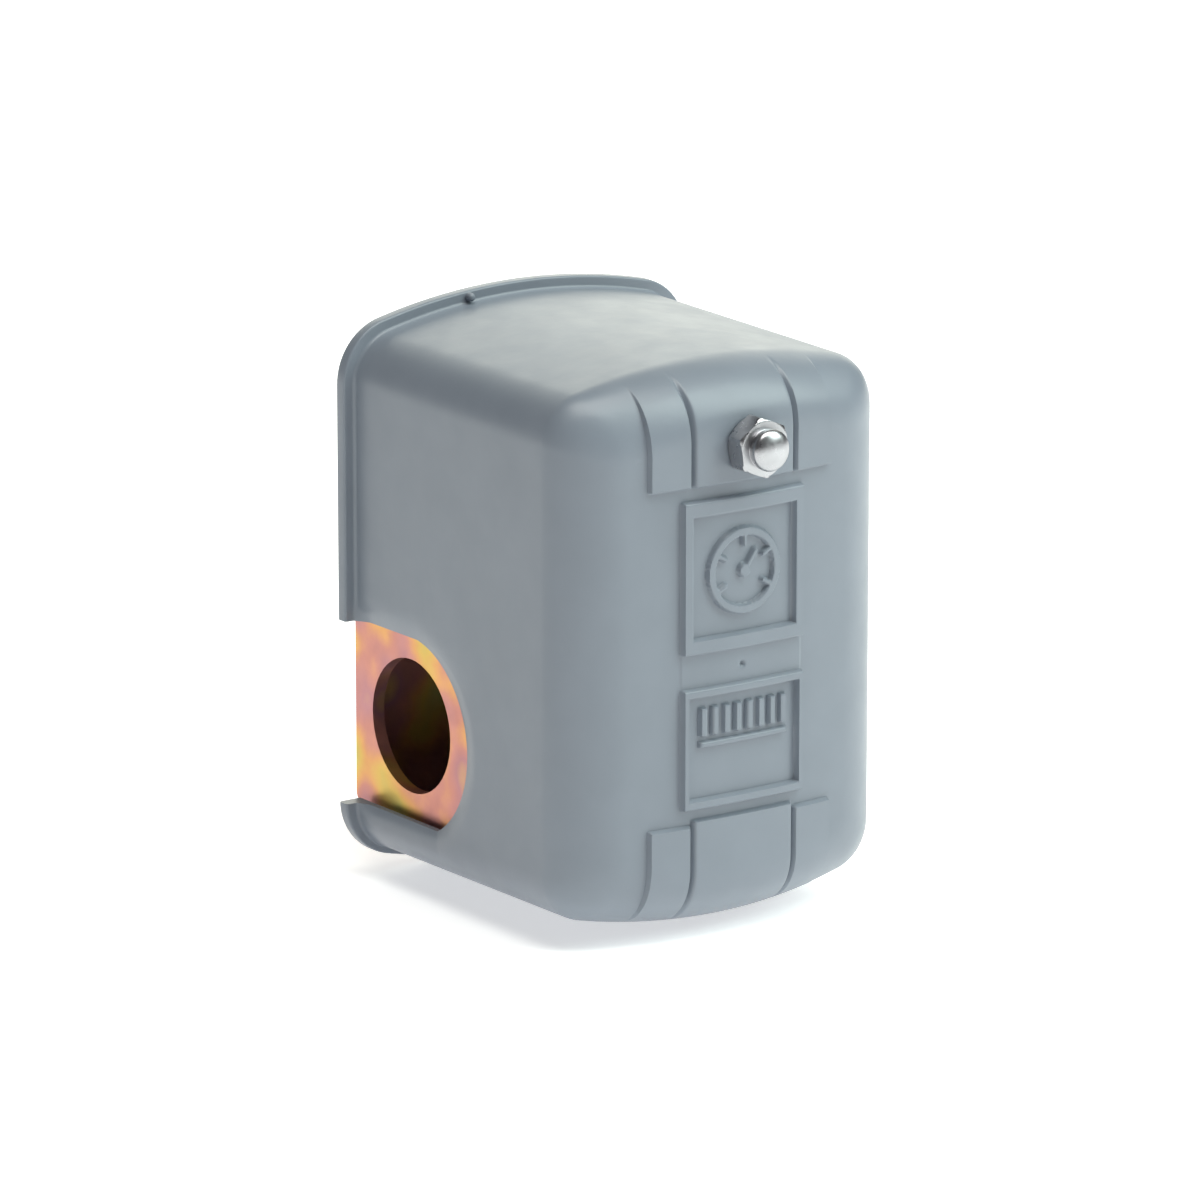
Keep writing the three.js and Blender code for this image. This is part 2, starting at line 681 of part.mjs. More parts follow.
// The cast cup under the diaphragm, with its hexagon and the pipe-thread port.
function pressureHousing() {
  const shell = turned(
    [
      [0, HOUSING_FRONT], [HOUSING_RADIUS, HOUSING_FRONT], [HOUSING_RADIUS, HOUSING_BACK - 0.6],
      [HOUSING_RADIUS - 0.6, HOUSING_BACK], [CHAMBER_RADIUS + 1, HOUSING_BACK],
      [CHAMBER_RADIUS - 0.7, HEX_BACK - 2.6], [PORT_NECK_RADIUS, HEX_BACK - 1.6],
      [PORT_NECK_RADIUS, HEX_BACK], [0, HEX_BACK],
    ],
    0, 0,
  );
  const chamber = turned(
    [
      [0, HOUSING_FRONT - 1], [CHAMBER_RADIUS, HOUSING_FRONT - 1], [CHAMBER_RADIUS, HOUSING_FRONT + 1.6],
      [PORT_NECK_RADIUS, CHAMBER_FLOOR], [0, CHAMBER_FLOOR],
    ],
    0, 0,
  );
  const bore = turned(
    [
      [0, CHAMBER_FLOOR - 1], [PORT_BORE_RADIUS, CHAMBER_FLOOR - 1], [PORT_BORE_RADIUS, -0.8],
      [PORT_BORE_RADIUS + 1.8, 1], [0, 1],
    ],
    0, 0,
  );
  const holes = housingScrewPlaces.map(([x, z]) =>
    disc(SCREW_RADIUS + GAP, HOUSING_FRONT - 1, HOUSING_BACK + 1, x, z, SMALL_ROUND),
  );
  return cut(join(shell, hexBar(PORT_FLATS, HEX_BACK - 1.5, 0, 0, 0)), chamber, bore, ...holes);
}

// A hexagon-headed screw with its shank going towards -Y.
function housingScrew([x, z]) {
  const head = hexBar(5.5, HOUSING_BACK + GAP, HOUSING_BACK + GAP + 2.4, x, z);
  const shank = disc(SCREW_RADIUS, BASE_FRONT + GAP, HOUSING_BACK + GAP + 1, x, z, SMALL_ROUND);
  return join(head, shank);
}

// A slotted washer-head screw with its shank going towards +Y.
function slottedScrew({ x, z, seat, tip, head }) {
  const washer = head + 0.6;
  const screw = turned(
    [
      [0, tip], [SCREW_RADIUS, tip], [SCREW_RADIUS, seat], [washer, seat], [washer, seat - 0.7],
      [head, seat - 0.8], [head, seat - 2.2], [head - 0.5, seat - 2.7], [0, seat - 2.7],
    ],
    x, z, SMALL_ROUND,
  );
  return cut(screw, box([x - 5, x + 5], [seat - 4, seat - 1.6], [z - 0.5, z + 0.5]));
}

// ---- springs and their nuts ----

// A washer with a low boss that centres the spring.
function springSeat(height, radius, boss, hole, x, z) {
  return turned(
    [
      [hole, above(height - 1.4)], [boss, above(height - 1.4)], [boss, above(height)],
      [radius, above(height)], [radius, above(height + 1.2)], [hole, above(height + 1.2)],
      [hole, above(height - 1.4)],
    ],
    x, z,
  );
}

function adjustingNut(flats, height, thick, hole, x, z, turn) {
  const top = above(height + thick);
  const bottom = above(height);
  const hex = hexBar(flats, bottom, top, x, z, turn);
  const corner = flats / Math.sqrt(3);
  const chamfer = turned(
    [[0, bottom], [corner, bottom], [corner, top + 0.6], [corner - 1, top], [0, top]], x, z,
  );
  return cut(hex.intersect(chamfer), disc(hole, bottom + 1, top - 1, x, z, SMALL_ROUND));
}

// ---- contacts ----

function contactCarrier() {
  const under = above(CARRIER_BED - CARRIER_WALL);
  const pivot = above(CARRIER_PIN_HEIGHT);
  const across = [-CARRIER_HALF_WIDTH, CARRIER_HALF_WIDTH];
  const bed = box(across, [under, above(CARRIER_BED)], [CONTACT_Z - 4, CARRIER_PIN_Z - 2.5]);
  const web = box(across, [under, pivot], [CARRIER_PIN_Z - 3.1, CARRIER_PIN_Z]);
  const tube = crossBar(PIN_RADIUS + 1.7, -PLATE_HALF_WIDTH, PLATE_HALF_WIDTH, pivot, CARRIER_PIN_Z);
  const arm = box([-4.5, 4.5], [above(TOGGLE_TOP), pivot], [CARRIER_PIN_Z, TOGGLE_Z + 4.5]);
  const peg = disc(1.6, above(TOGGLE_TOP - 2.2), above(TOGGLE_TOP + 1), 0, TOGGLE_Z, SMALL_ROUND);
  const guides = [-1, 1].flatMap((side) =>
    [-3.1, 3.1].map((shift) => {
      const x = side * CONTACT_PITCH;
      const z = CONTACT_Z + shift;
      const reach = [above(CARRIER_BED - 1), above(BAR_HEIGHT + 1.8)];
      return box([x - 1.5, x + 1.5], reach, [z - 0.6, z + 0.6]);
    }),
  );
  const bore = crossBar(
    PIN_RADIUS + GAP, -BASE_HALF_WIDTH, BASE_HALF_WIDTH, pivot, CARRIER_PIN_Z,
  );
  return cut(join(bed, tube, web, arm, peg, ...guides), bore);
}

const button = (low, high, x) =>
  disc(BUTTON_RADIUS, above(low), above(high), x, CONTACT_Z, SMALL_ROUND);

// A bridge with a silver button at each end.
function movingContact(x) {
  const half = CONTACT_PITCH / 2;
  const strip = prismY(
    roundedShape(rectangle(x - half - 2.6, x + half + 2.6, CONTACT_Z - 2.2, CONTACT_Z + 2.2), 1),
    above(BAR_HEIGHT),
    above(BAR_HEIGHT + 1),
  );
  return join(
    strip,
    button(BAR_HEIGHT + 0.5, BAR_HEIGHT + 1.6, x - half),
    button(BAR_HEIGHT + 0.5, BAR_HEIGHT + 1.6, x + half),
  );
}

// A strip from the terminal screw, over the block's edge and down to its fixed contact.
function terminalPlate(x) {
  const top = BLOCK_TOP + GAP;
  const contact = BAR_HEIGHT + 1.6 + GAP;
  const arm = contact + 0.7;
  const wall = BLOCK_INNER_Z + GAP;
  const strip = join(
    box([x - 3.6, x + 3.6], [above(top), above(top + 1)], [TERMINAL_Z - 5, wall + 1]),
    box([x - 3, x + 3], [above(arm), above(top + 1)], [wall, wall + 1]),
    box([x - 3, x + 3], [above(arm), above(arm + 1)], [wall, CONTACT_Z + 2.4]),
    button(contact, arm + 0.5, x),
  );
  const hole = disc(
    SCREW_RADIUS + GAP, above(top - 1), above(top + 2), x, TERMINAL_Z, SMALL_ROUND,
  );
  return cut(strip, hole);
}

// ---- terminal block ----

function terminalBlock() {
  const body = box(
    [-BLOCK_HALF_WIDTH, BLOCK_HALF_WIDTH],
    [above(BLOCK_BASE), above(BLOCK_TOP)],
    [BLOCK_OUTER_Z, BLOCK_INNER_Z],
  );
  const lug = (side) =>
    box(
      [side * (BLOCK_HALF_WIDTH - 1), side * (BASE_HALF_WIDTH - SHEET - GAP)],
      [above(BLOCK_BASE), above(BLOCK_BASE + 3)],
      [BLOCK_SCREW_Z - 7, BLOCK_SCREW_Z + 7],
    );
  const walls = [-2, -1, 0, 1, 2].map((step) => {
    const x = step * Math.min(CONTACT_PITCH, (BLOCK_HALF_WIDTH - 0.8) / 2);
    return box(
      [x - 0.8, x + 0.8],
      [above(BLOCK_TOP - 1), above(BLOCK_TOP + 5)],
      [BLOCK_OUTER_Z, BLOCK_INNER_Z - 4],
    );
  });
  const screwHoles = TERMINALS.map((x) =>
    disc(SCREW_RADIUS + GAP, above(BLOCK_TOP - 9), above(BLOCK_TOP + 1), x, TERMINAL_Z, SMALL_ROUND),
  );
  const lugHoles = [-1, 1].map((side) =>
    disc(
      SCREW_RADIUS + GAP, above(BLOCK_BASE - 1), above(BLOCK_BASE + 4),
      side * BLOCK_SCREW_X, BLOCK_SCREW_Z, SMALL_ROUND,
    ),
  );
  return cut(join(body, lug(1), lug(-1), ...walls), ...screwHoles, ...lugHoles);
}

// The bent washer that presses the wire onto the terminal plate.
function wireClamp(x) {
  const seat = BLOCK_TOP + 1 + 2 * GAP;
  const profile = polygon([
    [above(seat), TERMINAL_Z - 3.8], [above(seat + 1.6), TERMINAL_Z - 2.6],
    [above(seat + 1.6), TERMINAL_Z + 2.6], [above(seat), TERMINAL_Z + 3.8],
    [above(seat + 1), TERMINAL_Z + 3.8], [above(seat + 2.5), TERMINAL_Z + 3],
    [above(seat + 2.5), TERMINAL_Z - 3], [above(seat + 1), TERMINAL_Z - 3.8],
  ]);
  return cut(
    prismX(profile, x - 3.4, x + 3.4),
    disc(SCREW_RADIUS + GAP, above(seat - 1), above(seat + 4), x, TERMINAL_Z, SMALL_ROUND),
  );
}

// ---- assembly ----

const MIRRORED = [["left", -1], ["right", 1]];

place("cover", cover(), grayEnamel);
place("cap_nut", capNut(), brightZinc);
place("base_frame", baseFrame(), yellowZinc);
place("plate_pivot_pin", flushPin(PLATE_PIN_HEIGHT, PLATE_PIN_Z), brightZinc);
place("carrier_pivot_pin", flushPin(CARRIER_PIN_HEIGHT, CARRIER_PIN_Z), brightZinc);

place(
  "range_stud",
  stud(RANGE_STUD_RADIUS, RANGE_STUD_TIP, RANGE_X, RANGE_Z, COVER_STUD_RADIUS),
  brightZinc,
);
place(
  "range_spring",
  spring({
    radius: RANGE_SPRING_RADIUS, wire: RANGE_WIRE, turns: RANGE_TURNS, x: RANGE_X, z: RANGE_Z,
    from: above(PLATE_HEIGHT + PLATE_THICK + GAP), to: above(RANGE_SEAT_HEIGHT - GAP),
  }),
  springSteel,
);
place(
  "range_spring_seat",
  springSeat(
    RANGE_SEAT_HEIGHT, RANGE_SPRING_RADIUS + RANGE_WIRE + 0.2, RANGE_SPRING_RADIUS - RANGE_WIRE - GAP,
    RANGE_STUD_RADIUS + GAP, RANGE_X, RANGE_Z,
  ),
  brightZinc,
);
place(
  "range_nut",
  adjustingNut(11.1, RANGE_SEAT_HEIGHT + 1.5, 5.5, RANGE_STUD_RADIUS + GAP, RANGE_X, RANGE_Z, 15),
  brightZinc,
);

place("differential_stud", stud(DIFF_STUD_RADIUS, DIFF_STUD_TIP, DIFF_X, DIFF_Z), brightZinc);
place(
  "differential_spring",
  spring({
    radius: DIFF_SPRING_RADIUS, wire: DIFF_WIRE, turns: DIFF_TURNS, x: DIFF_X, z: DIFF_Z,
    from: above(PLATE_HEIGHT + PLATE_THICK + GAP), to: above(DIFF_SEAT_HEIGHT - GAP),
    stepsPerTurn: 10, sides: 5,
  }),
  springSteel,
);
place(
  "differential_spring_seat",
  springSeat(
    DIFF_SEAT_HEIGHT, DIFF_SPRING_RADIUS + DIFF_WIRE + 0.2, DIFF_SPRING_RADIUS - DIFF_WIRE - GAP,
    DIFF_STUD_RADIUS + GAP, DIFF_X, DIFF_Z,
  ),
  brightZinc,
);
place(
  "differential_nut",
  adjustingNut(7.9, DIFF_SEAT_HEIGHT + 1.5, 3.6, DIFF_STUD_RADIUS + GAP, DIFF_X, DIFF_Z, 0),
  brightZinc,
);

place("pressure_plate", pressurePlate(), yellowZinc);
place("piston", piston(), whiteNylon);
place("diaphragm", diaphragm(), rubber);
place("pressure_housing", pressureHousing(), brightZinc);
housingScrewPlaces.forEach((spot, i) => {
  place(`housing_screw_${i + 1}`, housingScrew(spot), brightZinc);
});

place("contact_carrier", contactCarrier(), whiteNylon);
place(
  "toggle_spring",
  spring({
    radius: TOGGLE_RADIUS, wire: TOGGLE_WIRE, turns: 8, x: 0, z: TOGGLE_Z,
    from: above(PLATE_HEIGHT + PLATE_THICK + GAP), to: above(TOGGLE_TOP - GAP),
    stepsPerTurn: 8, sides: 5,
  }),
  springSteel,
);
for (const [side, sign] of MIRRORED) {
  const x = sign * CONTACT_PITCH;
  place(`moving_contact_${side}`, movingContact(x), brass);
  place(
    `contact_spring_${side}`,
    spring({
      radius: CONTACT_SPRING_RADIUS, wire: 0.35, turns: 3.5, x, z: CONTACT_Z,
      from: above(CARRIER_BED + GAP), to: above(BAR_HEIGHT - GAP),
      stepsPerTurn: 8, sides: 5,
    }),
    springSteel,
  );
  place(
    `terminal_block_screw_${side}`,
    slottedScrew({
      x: sign * BLOCK_SCREW_X, z: BLOCK_SCREW_Z, seat: above(BLOCK_BASE + 3 + GAP),
      tip: above(EAR_HEIGHT - SHEET - 2), head: 1.8,
    }),
    brightZinc,
  );
  place(
    `ground_screw_${side}`,
    slottedScrew({
      x: sign * GROUND_X, z: GROUND_Z, seat: above(GAP), tip: BASE_BACK + 1, head: 3.2,
    }),
    greenDye,
  );
}

place("terminal_block", terminalBlock(), blackPhenolic);
TERMINALS.forEach((x, i) => {
  place(`terminal_plate_${i + 1}`, terminalPlate(x), brass);
  place(`wire_clamp_${i + 1}`, wireClamp(x), brightZinc);
  place(
    `terminal_screw_${i + 1}`,
    slottedScrew({
      x, z: TERMINAL_Z, seat: above(BLOCK_TOP + 3.5 + 3 * GAP), tip: above(BLOCK_TOP - 8), head: 2.9,
    }),
    brightZinc,
  );
});

export default assembly;
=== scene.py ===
"""Looks of a well-pump pressure switch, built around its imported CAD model.

Lengths are in millimetres in the part's own frame, and become metres as each mesh is made:
the port points along +Y, the cover's face along -Y, and +Z runs up to the spring end.
"""
import json
import math
from itertools import product
from typing import NamedTuple

import bmesh
import bpy
import numpy as np
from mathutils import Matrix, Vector

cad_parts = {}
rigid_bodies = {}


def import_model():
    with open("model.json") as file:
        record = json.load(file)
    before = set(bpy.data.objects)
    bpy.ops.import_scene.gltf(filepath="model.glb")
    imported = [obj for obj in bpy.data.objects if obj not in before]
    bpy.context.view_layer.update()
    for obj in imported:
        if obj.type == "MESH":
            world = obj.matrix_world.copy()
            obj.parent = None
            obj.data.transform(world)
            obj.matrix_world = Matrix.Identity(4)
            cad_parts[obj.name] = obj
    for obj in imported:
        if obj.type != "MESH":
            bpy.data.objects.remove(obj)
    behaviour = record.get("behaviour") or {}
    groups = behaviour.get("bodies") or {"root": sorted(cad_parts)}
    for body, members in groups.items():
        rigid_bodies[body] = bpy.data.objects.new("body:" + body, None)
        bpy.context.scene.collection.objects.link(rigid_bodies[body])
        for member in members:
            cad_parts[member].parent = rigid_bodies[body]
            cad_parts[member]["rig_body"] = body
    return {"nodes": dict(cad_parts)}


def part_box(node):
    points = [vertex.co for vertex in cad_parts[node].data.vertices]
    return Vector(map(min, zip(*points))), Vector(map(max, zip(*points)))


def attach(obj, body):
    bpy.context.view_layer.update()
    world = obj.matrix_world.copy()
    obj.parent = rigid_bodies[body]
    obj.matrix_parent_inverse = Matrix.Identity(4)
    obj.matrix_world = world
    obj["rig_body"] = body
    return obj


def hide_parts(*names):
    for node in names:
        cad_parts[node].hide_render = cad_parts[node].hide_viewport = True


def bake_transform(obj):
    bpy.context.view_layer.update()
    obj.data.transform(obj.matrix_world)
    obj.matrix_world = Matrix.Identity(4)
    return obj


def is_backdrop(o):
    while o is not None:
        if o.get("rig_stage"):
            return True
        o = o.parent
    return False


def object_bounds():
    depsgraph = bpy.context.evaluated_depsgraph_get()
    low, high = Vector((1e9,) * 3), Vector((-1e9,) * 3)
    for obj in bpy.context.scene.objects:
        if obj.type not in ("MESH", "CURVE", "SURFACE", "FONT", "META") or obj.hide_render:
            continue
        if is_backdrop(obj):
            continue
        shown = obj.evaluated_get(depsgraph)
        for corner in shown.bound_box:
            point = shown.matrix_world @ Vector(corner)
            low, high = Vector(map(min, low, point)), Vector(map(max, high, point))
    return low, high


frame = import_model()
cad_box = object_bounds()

MM = 0.001
WELD = 0.002 * MM  # points closer than this become one

# ---- what the frame says ----


def box_of(node):
    """Lowest and highest corner of a CAD node in millimetres."""
    low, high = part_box(node)
    return np.array(low) / MM, np.array(high) / MM


def middle_of(node):
    low, high = box_of(node)
    return (low + high) / 2


def body_of(node):
    return frame["nodes"][node]["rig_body"]


# ---- sizes that the boxes don't give ----

# cover, about its own middle
RELIEF = 0.8  # how far the CAD cover's figures stand out from its plain face
RIM_SIDE = 2.07
RIM_TOP = 1.98
RIM_BOTTOM = 1.14
RIM_THICK = 2.2
RIM_LEAN = 0.05  # how far the rim's front falls back from the wall to its edge
DRAFT = 0.39  # widening from the face back to the rim
WALL = 2.0
SAG = 4.64  # rise of the bowed top edge at its middle
CORNER = 8.27
CORNER_LOSS = 0.8  # share of the corner's radius that is gone at the face
FRONT_ROUND = 10.5
FACE_BOW = 3.25  # how far the face falls back at its sides
FACE_HALF_WIDTH = 18.5  # half width of the face's grid, between those of the sides
STUD_HOLE_RADIUS = 2.6

# side cut-out: a round front edge, open to the rim, with its sheet turned in
CUTOUT_TOP = -3.9
CUTOUT_BOTTOM = -34.4
CUTOUT_RADIUS = 16.4
CUTOUT_DEPTH = 48.5
CUTOUT_Z = -20.1
LIP_WIDTH = 3.8
LIP_MARGIN = 0.5
LIP_DEPTH = 1.0
LIP_CURVE = 1.6
LIP_END = 5.0  # distance from the cover's back at which the lip begins to fade

# fillet between wall and rim, which is larger near the cut-out's top, and the rim's rounded edges
FILLET = 0.6
FILLET_GROWTH = 2.6
FILLET_REACH = 3.0
EDGE_ROUND = 0.4

# nub on the rim's top edge
NUB_X = -9.5
NUB_DROP = 1.35  # from the rim's highest point
NUB_LENGTH = 1.4
NUB_ROOT = 0.8
NUB_RADIUS = 0.7

# heights of the figures on the face, some as shares of FIGURE_HEIGHT
FIGURE_HEIGHT = 0.95
PANEL_HEIGHT = 1.15
SIGN_SHARE = 0.9
STRIP_SHARE = 0.16
DIMPLE_SHARE = 0.7
EDGE_SOFT = 0.28

# outlines of the figures: bands, panels and the dimple between them, dial and ribs
BAND_HALF_WIDTH = 17.5
BAND_EDGE = 27.4
BAND_STEP = 0.8  # the bottom band reaches this much farther in between its grooves
BAND_GROOVE = 9.8
GROOVE_HALF_WIDTH = 0.55
PANEL_HALF_WIDTH = 11.6
UPPER_PANEL = (0.5, 25.1)
UPPER_FIELD = (2.9, 22.65)
UPPER_FIELD_HALF_WIDTH = 9.9
LOWER_PANEL = (-24.7, -5.2)
LOWER_FIELD = (-23.2, -6.5)
LOWER_FIELD_HALF_WIDTH = 10.6
DIMPLE_Z = -2.4
DIMPLE_RADIUS = 0.4
DIAL_Z = 12.9
DIAL_RADIUS = 6.3
DIAL_HALF_WIDTH = 0.7
HUB_RADIUS = 1.1
TICK_DEGREES = (-120, -60, 0, 60, 120)
TICK_START = 4.2
NEEDLE_DEGREES = 35
NEEDLE_LENGTH = 3.6
BAR_HALF_WIDTH = 0.4
SIGN_HALF_WIDTH = 8.4
SIGN_BAR = (-14.8, -13.9)
RIBS = 8
RIB_STEP = 2.2
RIB_HALF_WIDTH = 0.6
RIB_SPAN = (-13.0, -8.4)

# cap nut
CAP_FLATS = 8.73
CAP_HEX_THICK = 3.8
CAP_NECK = 1.5
CAP_DOME_RADIUS = 3.35
CAP_TURN = -8

# pressure housing and its screws
PORT_FLATS = 17.5
PORT_BORE = 5.55
PORT_PITCH = 1.41
SCREW_FLATS = 5.5

# contacts
BUTTON_RADIUS = 1.8
BUTTON_EDGE = 0.25
BUTTON_INSET = 2.6

# springs
END_TURNS = 0.85  # closed turns at each end
CLOSED_PITCH = 2.3  # advance of a closed turn, in wire radii
COIL_SIDES = 12
STEPS_PER_TURN = 32

cover_low, cover_high = box_of("cover")
COVER_FRONT = cover_low[1] + RELIEF
COVER_DEPTH = cover_high[1] - COVER_FRONT
HALF_WIDTH = cover_high[0] - RIM_SIDE - DRAFT
TOP_EDGE = cover_high[2] - RIM_TOP - DRAFT
BOTTOM_EDGE = cover_low[2] + RIM_BOTTOM + DRAFT
HALF_HEIGHT = (TOP_EDGE - BOTTOM_EDGE) / 2
COVER_Z = (TOP_EDGE + BOTTOM_EDGE) / 2

# ---- materials ----

NOISE_SPAN = (0.3, 0.7)  # where most of a noise's values lie


class Nodes:
    """A material's node tree, with short calls for the nodes used here."""

    def __init__(self, name):
        self.material = bpy.data.materials.new(name)
        self.material.use_nodes = True
        self.tree = self.material.node_tree
        self.shader = self.tree.nodes["Principled BSDF"]
        self.place = self.new("ShaderNodeTexCoord").outputs["Object"]

    def new(self, kind, **settings):
        node = self.tree.nodes.new(kind)
        for key, value in settings.items():
            setattr(node, key, value)
        return node

    def link(self, source, target):
        self.tree.links.new(source, target)

    def set(self, **values):
        for key, value in values.items():
            socket = self.shader.inputs[key.replace("_", " ")]
            socket.default_value = (*value, 1) if isinstance(value, tuple) else value

    def noise(self, size, detail=3.0, stretch=None):
        """Noise whose features are about this many millimetres across."""
        node = self.new("ShaderNodeTexNoise")
        node.inputs["Scale"].default_value = 1 / (size * MM)
        node.inputs["Detail"].default_value = detail
        place = self.place
        if stretch:
            mapping = self.new("ShaderNodeMapping")
            mapping.inputs["Scale"].default_value = stretch
            self.link(place, mapping.inputs["Vector"])
            place = mapping.outputs["Vector"]
        self.link(place, node.inputs["Vector"])
        return node.outputs["Fac"]

    def ramp(self, factor, *stops):
        """Colours by position along a factor."""
        node = self.new("ShaderNodeValToRGB")
        elements = node.color_ramp.elements
        while len(elements) < len(stops):
            elements.new(0.5)
        for element, (position, colour) in zip(elements, stops):
            element.position = position
            element.color = (*colour, 1)
        self.link(factor, node.inputs["Fac"])
        return node.outputs["Color"]

    def spread(self, noise, low, high):
        """A noise turned into a value between low and high."""
        node = self.new("ShaderNodeMapRange")
        node.inputs["From Min"].default_value = NOISE_SPAN[0]
        node.inputs["From Max"].default_value = NOISE_SPAN[1]
        node.inputs["To Min"].default_value = low
        node.inputs["To Max"].default_value = high
        self.link(noise, node.inputs["Value"])
        return node.outputs["Result"]

    def rough(self, size, low, high):
        """Roughness that varies between low and high in patches of a size."""
        self.link(self.spread(self.noise(size), low, high), self.shader.inputs["Roughness"])

    def sum(self, a, b, share):
        """a plus a share of b."""
        node = self.new("ShaderNodeMath", operation="MULTIPLY_ADD")
        self.link(b, node.inputs[0])
        node.inputs[1].default_value = share
        self.link(a, node.inputs[2])
        return node.outputs["Value"]

    def bump(self, height, depth):
        """Bump from a height of this many millimetres."""
        node = self.new("ShaderNodeBump")
        node.inputs["Distance"].default_value = depth * MM
        self.link(height, node.inputs["Height"])
        self.link(node.outputs["Normal"], self.shader.inputs["Normal"])


def shade(colour, factor):
    return tuple(min(1.0, c * factor) for c in colour)


def mottled(nodes, colour, size, contrast):
    """Gives the shader a colour that varies a little in patches."""
    low, high = NOISE_SPAN
    stops = (low, shade(colour, 1 - contrast)), (high, shade(colour, 1 + contrast))
    nodes.link(nodes.ramp(nodes.noise(size), *stops), nodes.shader.inputs["Base Color"])


def enamel():
    """Baked grey paint with a faint orange peel."""
    nodes = Nodes("cover_enamel")
    mottled(nodes, (0.194, 0.221, 0.262), size=9, contrast=0.03)
    nodes.rough(5, 0.36, 0.44)
    nodes.set(Specular_IOR_Level=0.5, Coat_Weight=0.15, Coat_Roughness=0.25)
    peel = nodes.sum(nodes.noise(1.1, detail=1), nodes.noise(0.3, detail=2), share=0.25)
    nodes.bump(peel, depth=0.012)
    return nodes.material


def yellow_zinc():
    """Yellow chromate over zinc: gold with patches of olive, orange and dull pink."""
    nodes = Nodes("yellow_zinc")
    zones = nodes.sum(nodes.noise(12, detail=1.2), nodes.noise(1.5), share=0.04)
    colour = nodes.ramp(
        zones,
        (0.28, (0.5, 0.46, 0.14)),
        (0.39, (0.66, 0.44, 0.11)),
        (0.48, (0.68, 0.34, 0.13)),
        (0.56, (0.56, 0.24, 0.19)),
        (0.66, (0.46, 0.21, 0.22)),
        (0.78, (0.62, 0.38, 0.16)),
    )
    nodes.link(colour, nodes.shader.inputs["Base Color"])
    nodes.rough(3, 0.3, 0.42)
    nodes.set(Metallic=0.85)
    nodes.bump(nodes.noise(0.5, detail=4), depth=0.01)
    return nodes.material


def plated(name, colour, rough):
    """Bright plated or bare metal with faint drawing marks."""
    nodes = Nodes(name)
    mottled(nodes, colour, size=4, contrast=0.07)
    nodes.rough(1.2, rough - 0.05, rough + 0.08)
    nodes.set(Metallic=1.0)
    nodes.bump(nodes.noise(0.4, detail=4, stretch=(1, 0.25, 1)), depth=0.004)
    return nodes.material


def moulded(name, colour, rough, depth=0.012, sheen=0.5):
    """Moulded plastic or rubber with a fine tool texture."""
    nodes = Nodes(name)
    mottled(nodes, colour, size=6, contrast=0.06)
    nodes.rough(2.5, rough - 0.05, rough + 0.06)
    nodes.set(Specular_IOR_Level=sheen)
    nodes.bump(nodes.noise(0.6, detail=3), depth)
    return nodes.material


FINISHES = {
    "cover_enamel": enamel(),
    "yellow_zinc": yellow_zinc(),
    "bright_zinc": plated("bright_zinc", (0.44, 0.44, 0.46), rough=0.3),
    "spring_steel": plated("spring_steel", (0.4, 0.4, 0.41), rough=0.3),
    "brass": plated("brass", (0.7, 0.5, 0.2), rough=0.3),
    "black_phenolic": moulded("black_phenolic", (0.02, 0.019, 0.018), rough=0.42),
    "white_nylon": moulded("white_nylon", (0.66, 0.63, 0.55), rough=0.45, depth=0.008),
    "rubber": moulded("rubber", (0.018, 0.018, 0.019), rough=0.7, sheen=0.3),
    "green_zinc": plated("green_zinc", (0.08, 0.3, 0.13), rough=0.34),
    "contact_silver": plated("contact_silver", (0.82, 0.81, 0.78), rough=0.2),
}

# ---- making pieces ----


def add_object(name, mesh, material):
    piece = bpy.data.objects.new(name, mesh)
    bpy.context.scene.collection.objects.link(piece)
    mesh.materials.clear()
    mesh.materials.append(material)
    return piece


def soften(piece, sharp):
    """Smooth shading that keeps edges sharper than this many degrees."""
    piece.data.shade_smooth()
    piece.data.set_sharp_from_angle(angle=math.radians(sharp))


def hold(piece, node, stands_for=True):
    """Makes a piece ride on its node's body and, unless told not to, stand for that node."""
    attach(piece, body_of(node))
    if stands_for:
        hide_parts(node)


def finish(name, node, slot, mesh, sharp=38, stands_for=True, material=None):
    """Makes a mesh the finished piece of a node, in its slot's material or another."""
    piece = add_object(name, mesh, FINISHES[material or slot])
    soften(piece, sharp)
    hold(piece, node, stands_for)


def mesh_from(name, points, faces):
    """A mesh from points in millimetres, welded, with its faces pointing out."""
    mesh = bpy.data.meshes.new(name)
    mesh.from_pydata((np.asarray(points) * MM).tolist(), [], faces)
    shape = bmesh.new()
    shape.from_mesh(mesh)
    bmesh.ops.remove_doubles(shape, verts=shape.verts, dist=WELD)
    bmesh.ops.recalc_face_normals(shape, faces=shape.faces)
    shape.to_mesh(mesh)
    shape.free()
    return mesh


def applied(piece):
    """Turns a piece's modifiers into its mesh."""
    seen = piece.evaluated_get(bpy.context.evaluated_depsgraph_get())
    mesh = bpy.data.meshes.new_from_object(seen)
    piece.modifiers.clear()
    piece.data = mesh


def bevelled(name, node, slot, width, segments=2):
    """A CAD node's own shape with rounded edges."""
    mesh = frame["nodes"][node].data.copy()
    shape = bmesh.new()
    shape.from_mesh(mesh)
    bmesh.ops.remove_doubles(shape, verts=shape.verts, dist=WELD)
    bmesh.ops.dissolve_limit(
        shape, angle_limit=math.radians(1), verts=shape.verts, edges=shape.edges,
        use_dissolve_boundaries=False,
    )
    shape.to_mesh(mesh)
    shape.free()
    mesh.name = name
    piece = add_object(name, mesh, FINISHES[slot])
    round_over = piece.modifiers.new("edges", "BEVEL")
    round_over.width = width * MM
    round_over.segments = segments
    round_over.limit_method = "ANGLE"
    round_over.angle_limit = math.radians(35)
    applied(piece)
    soften(piece, 40)
    even = piece.modifiers.new("even", "WEIGHTED_NORMAL")
    even.keep_sharp = True
    hold(piece, node)


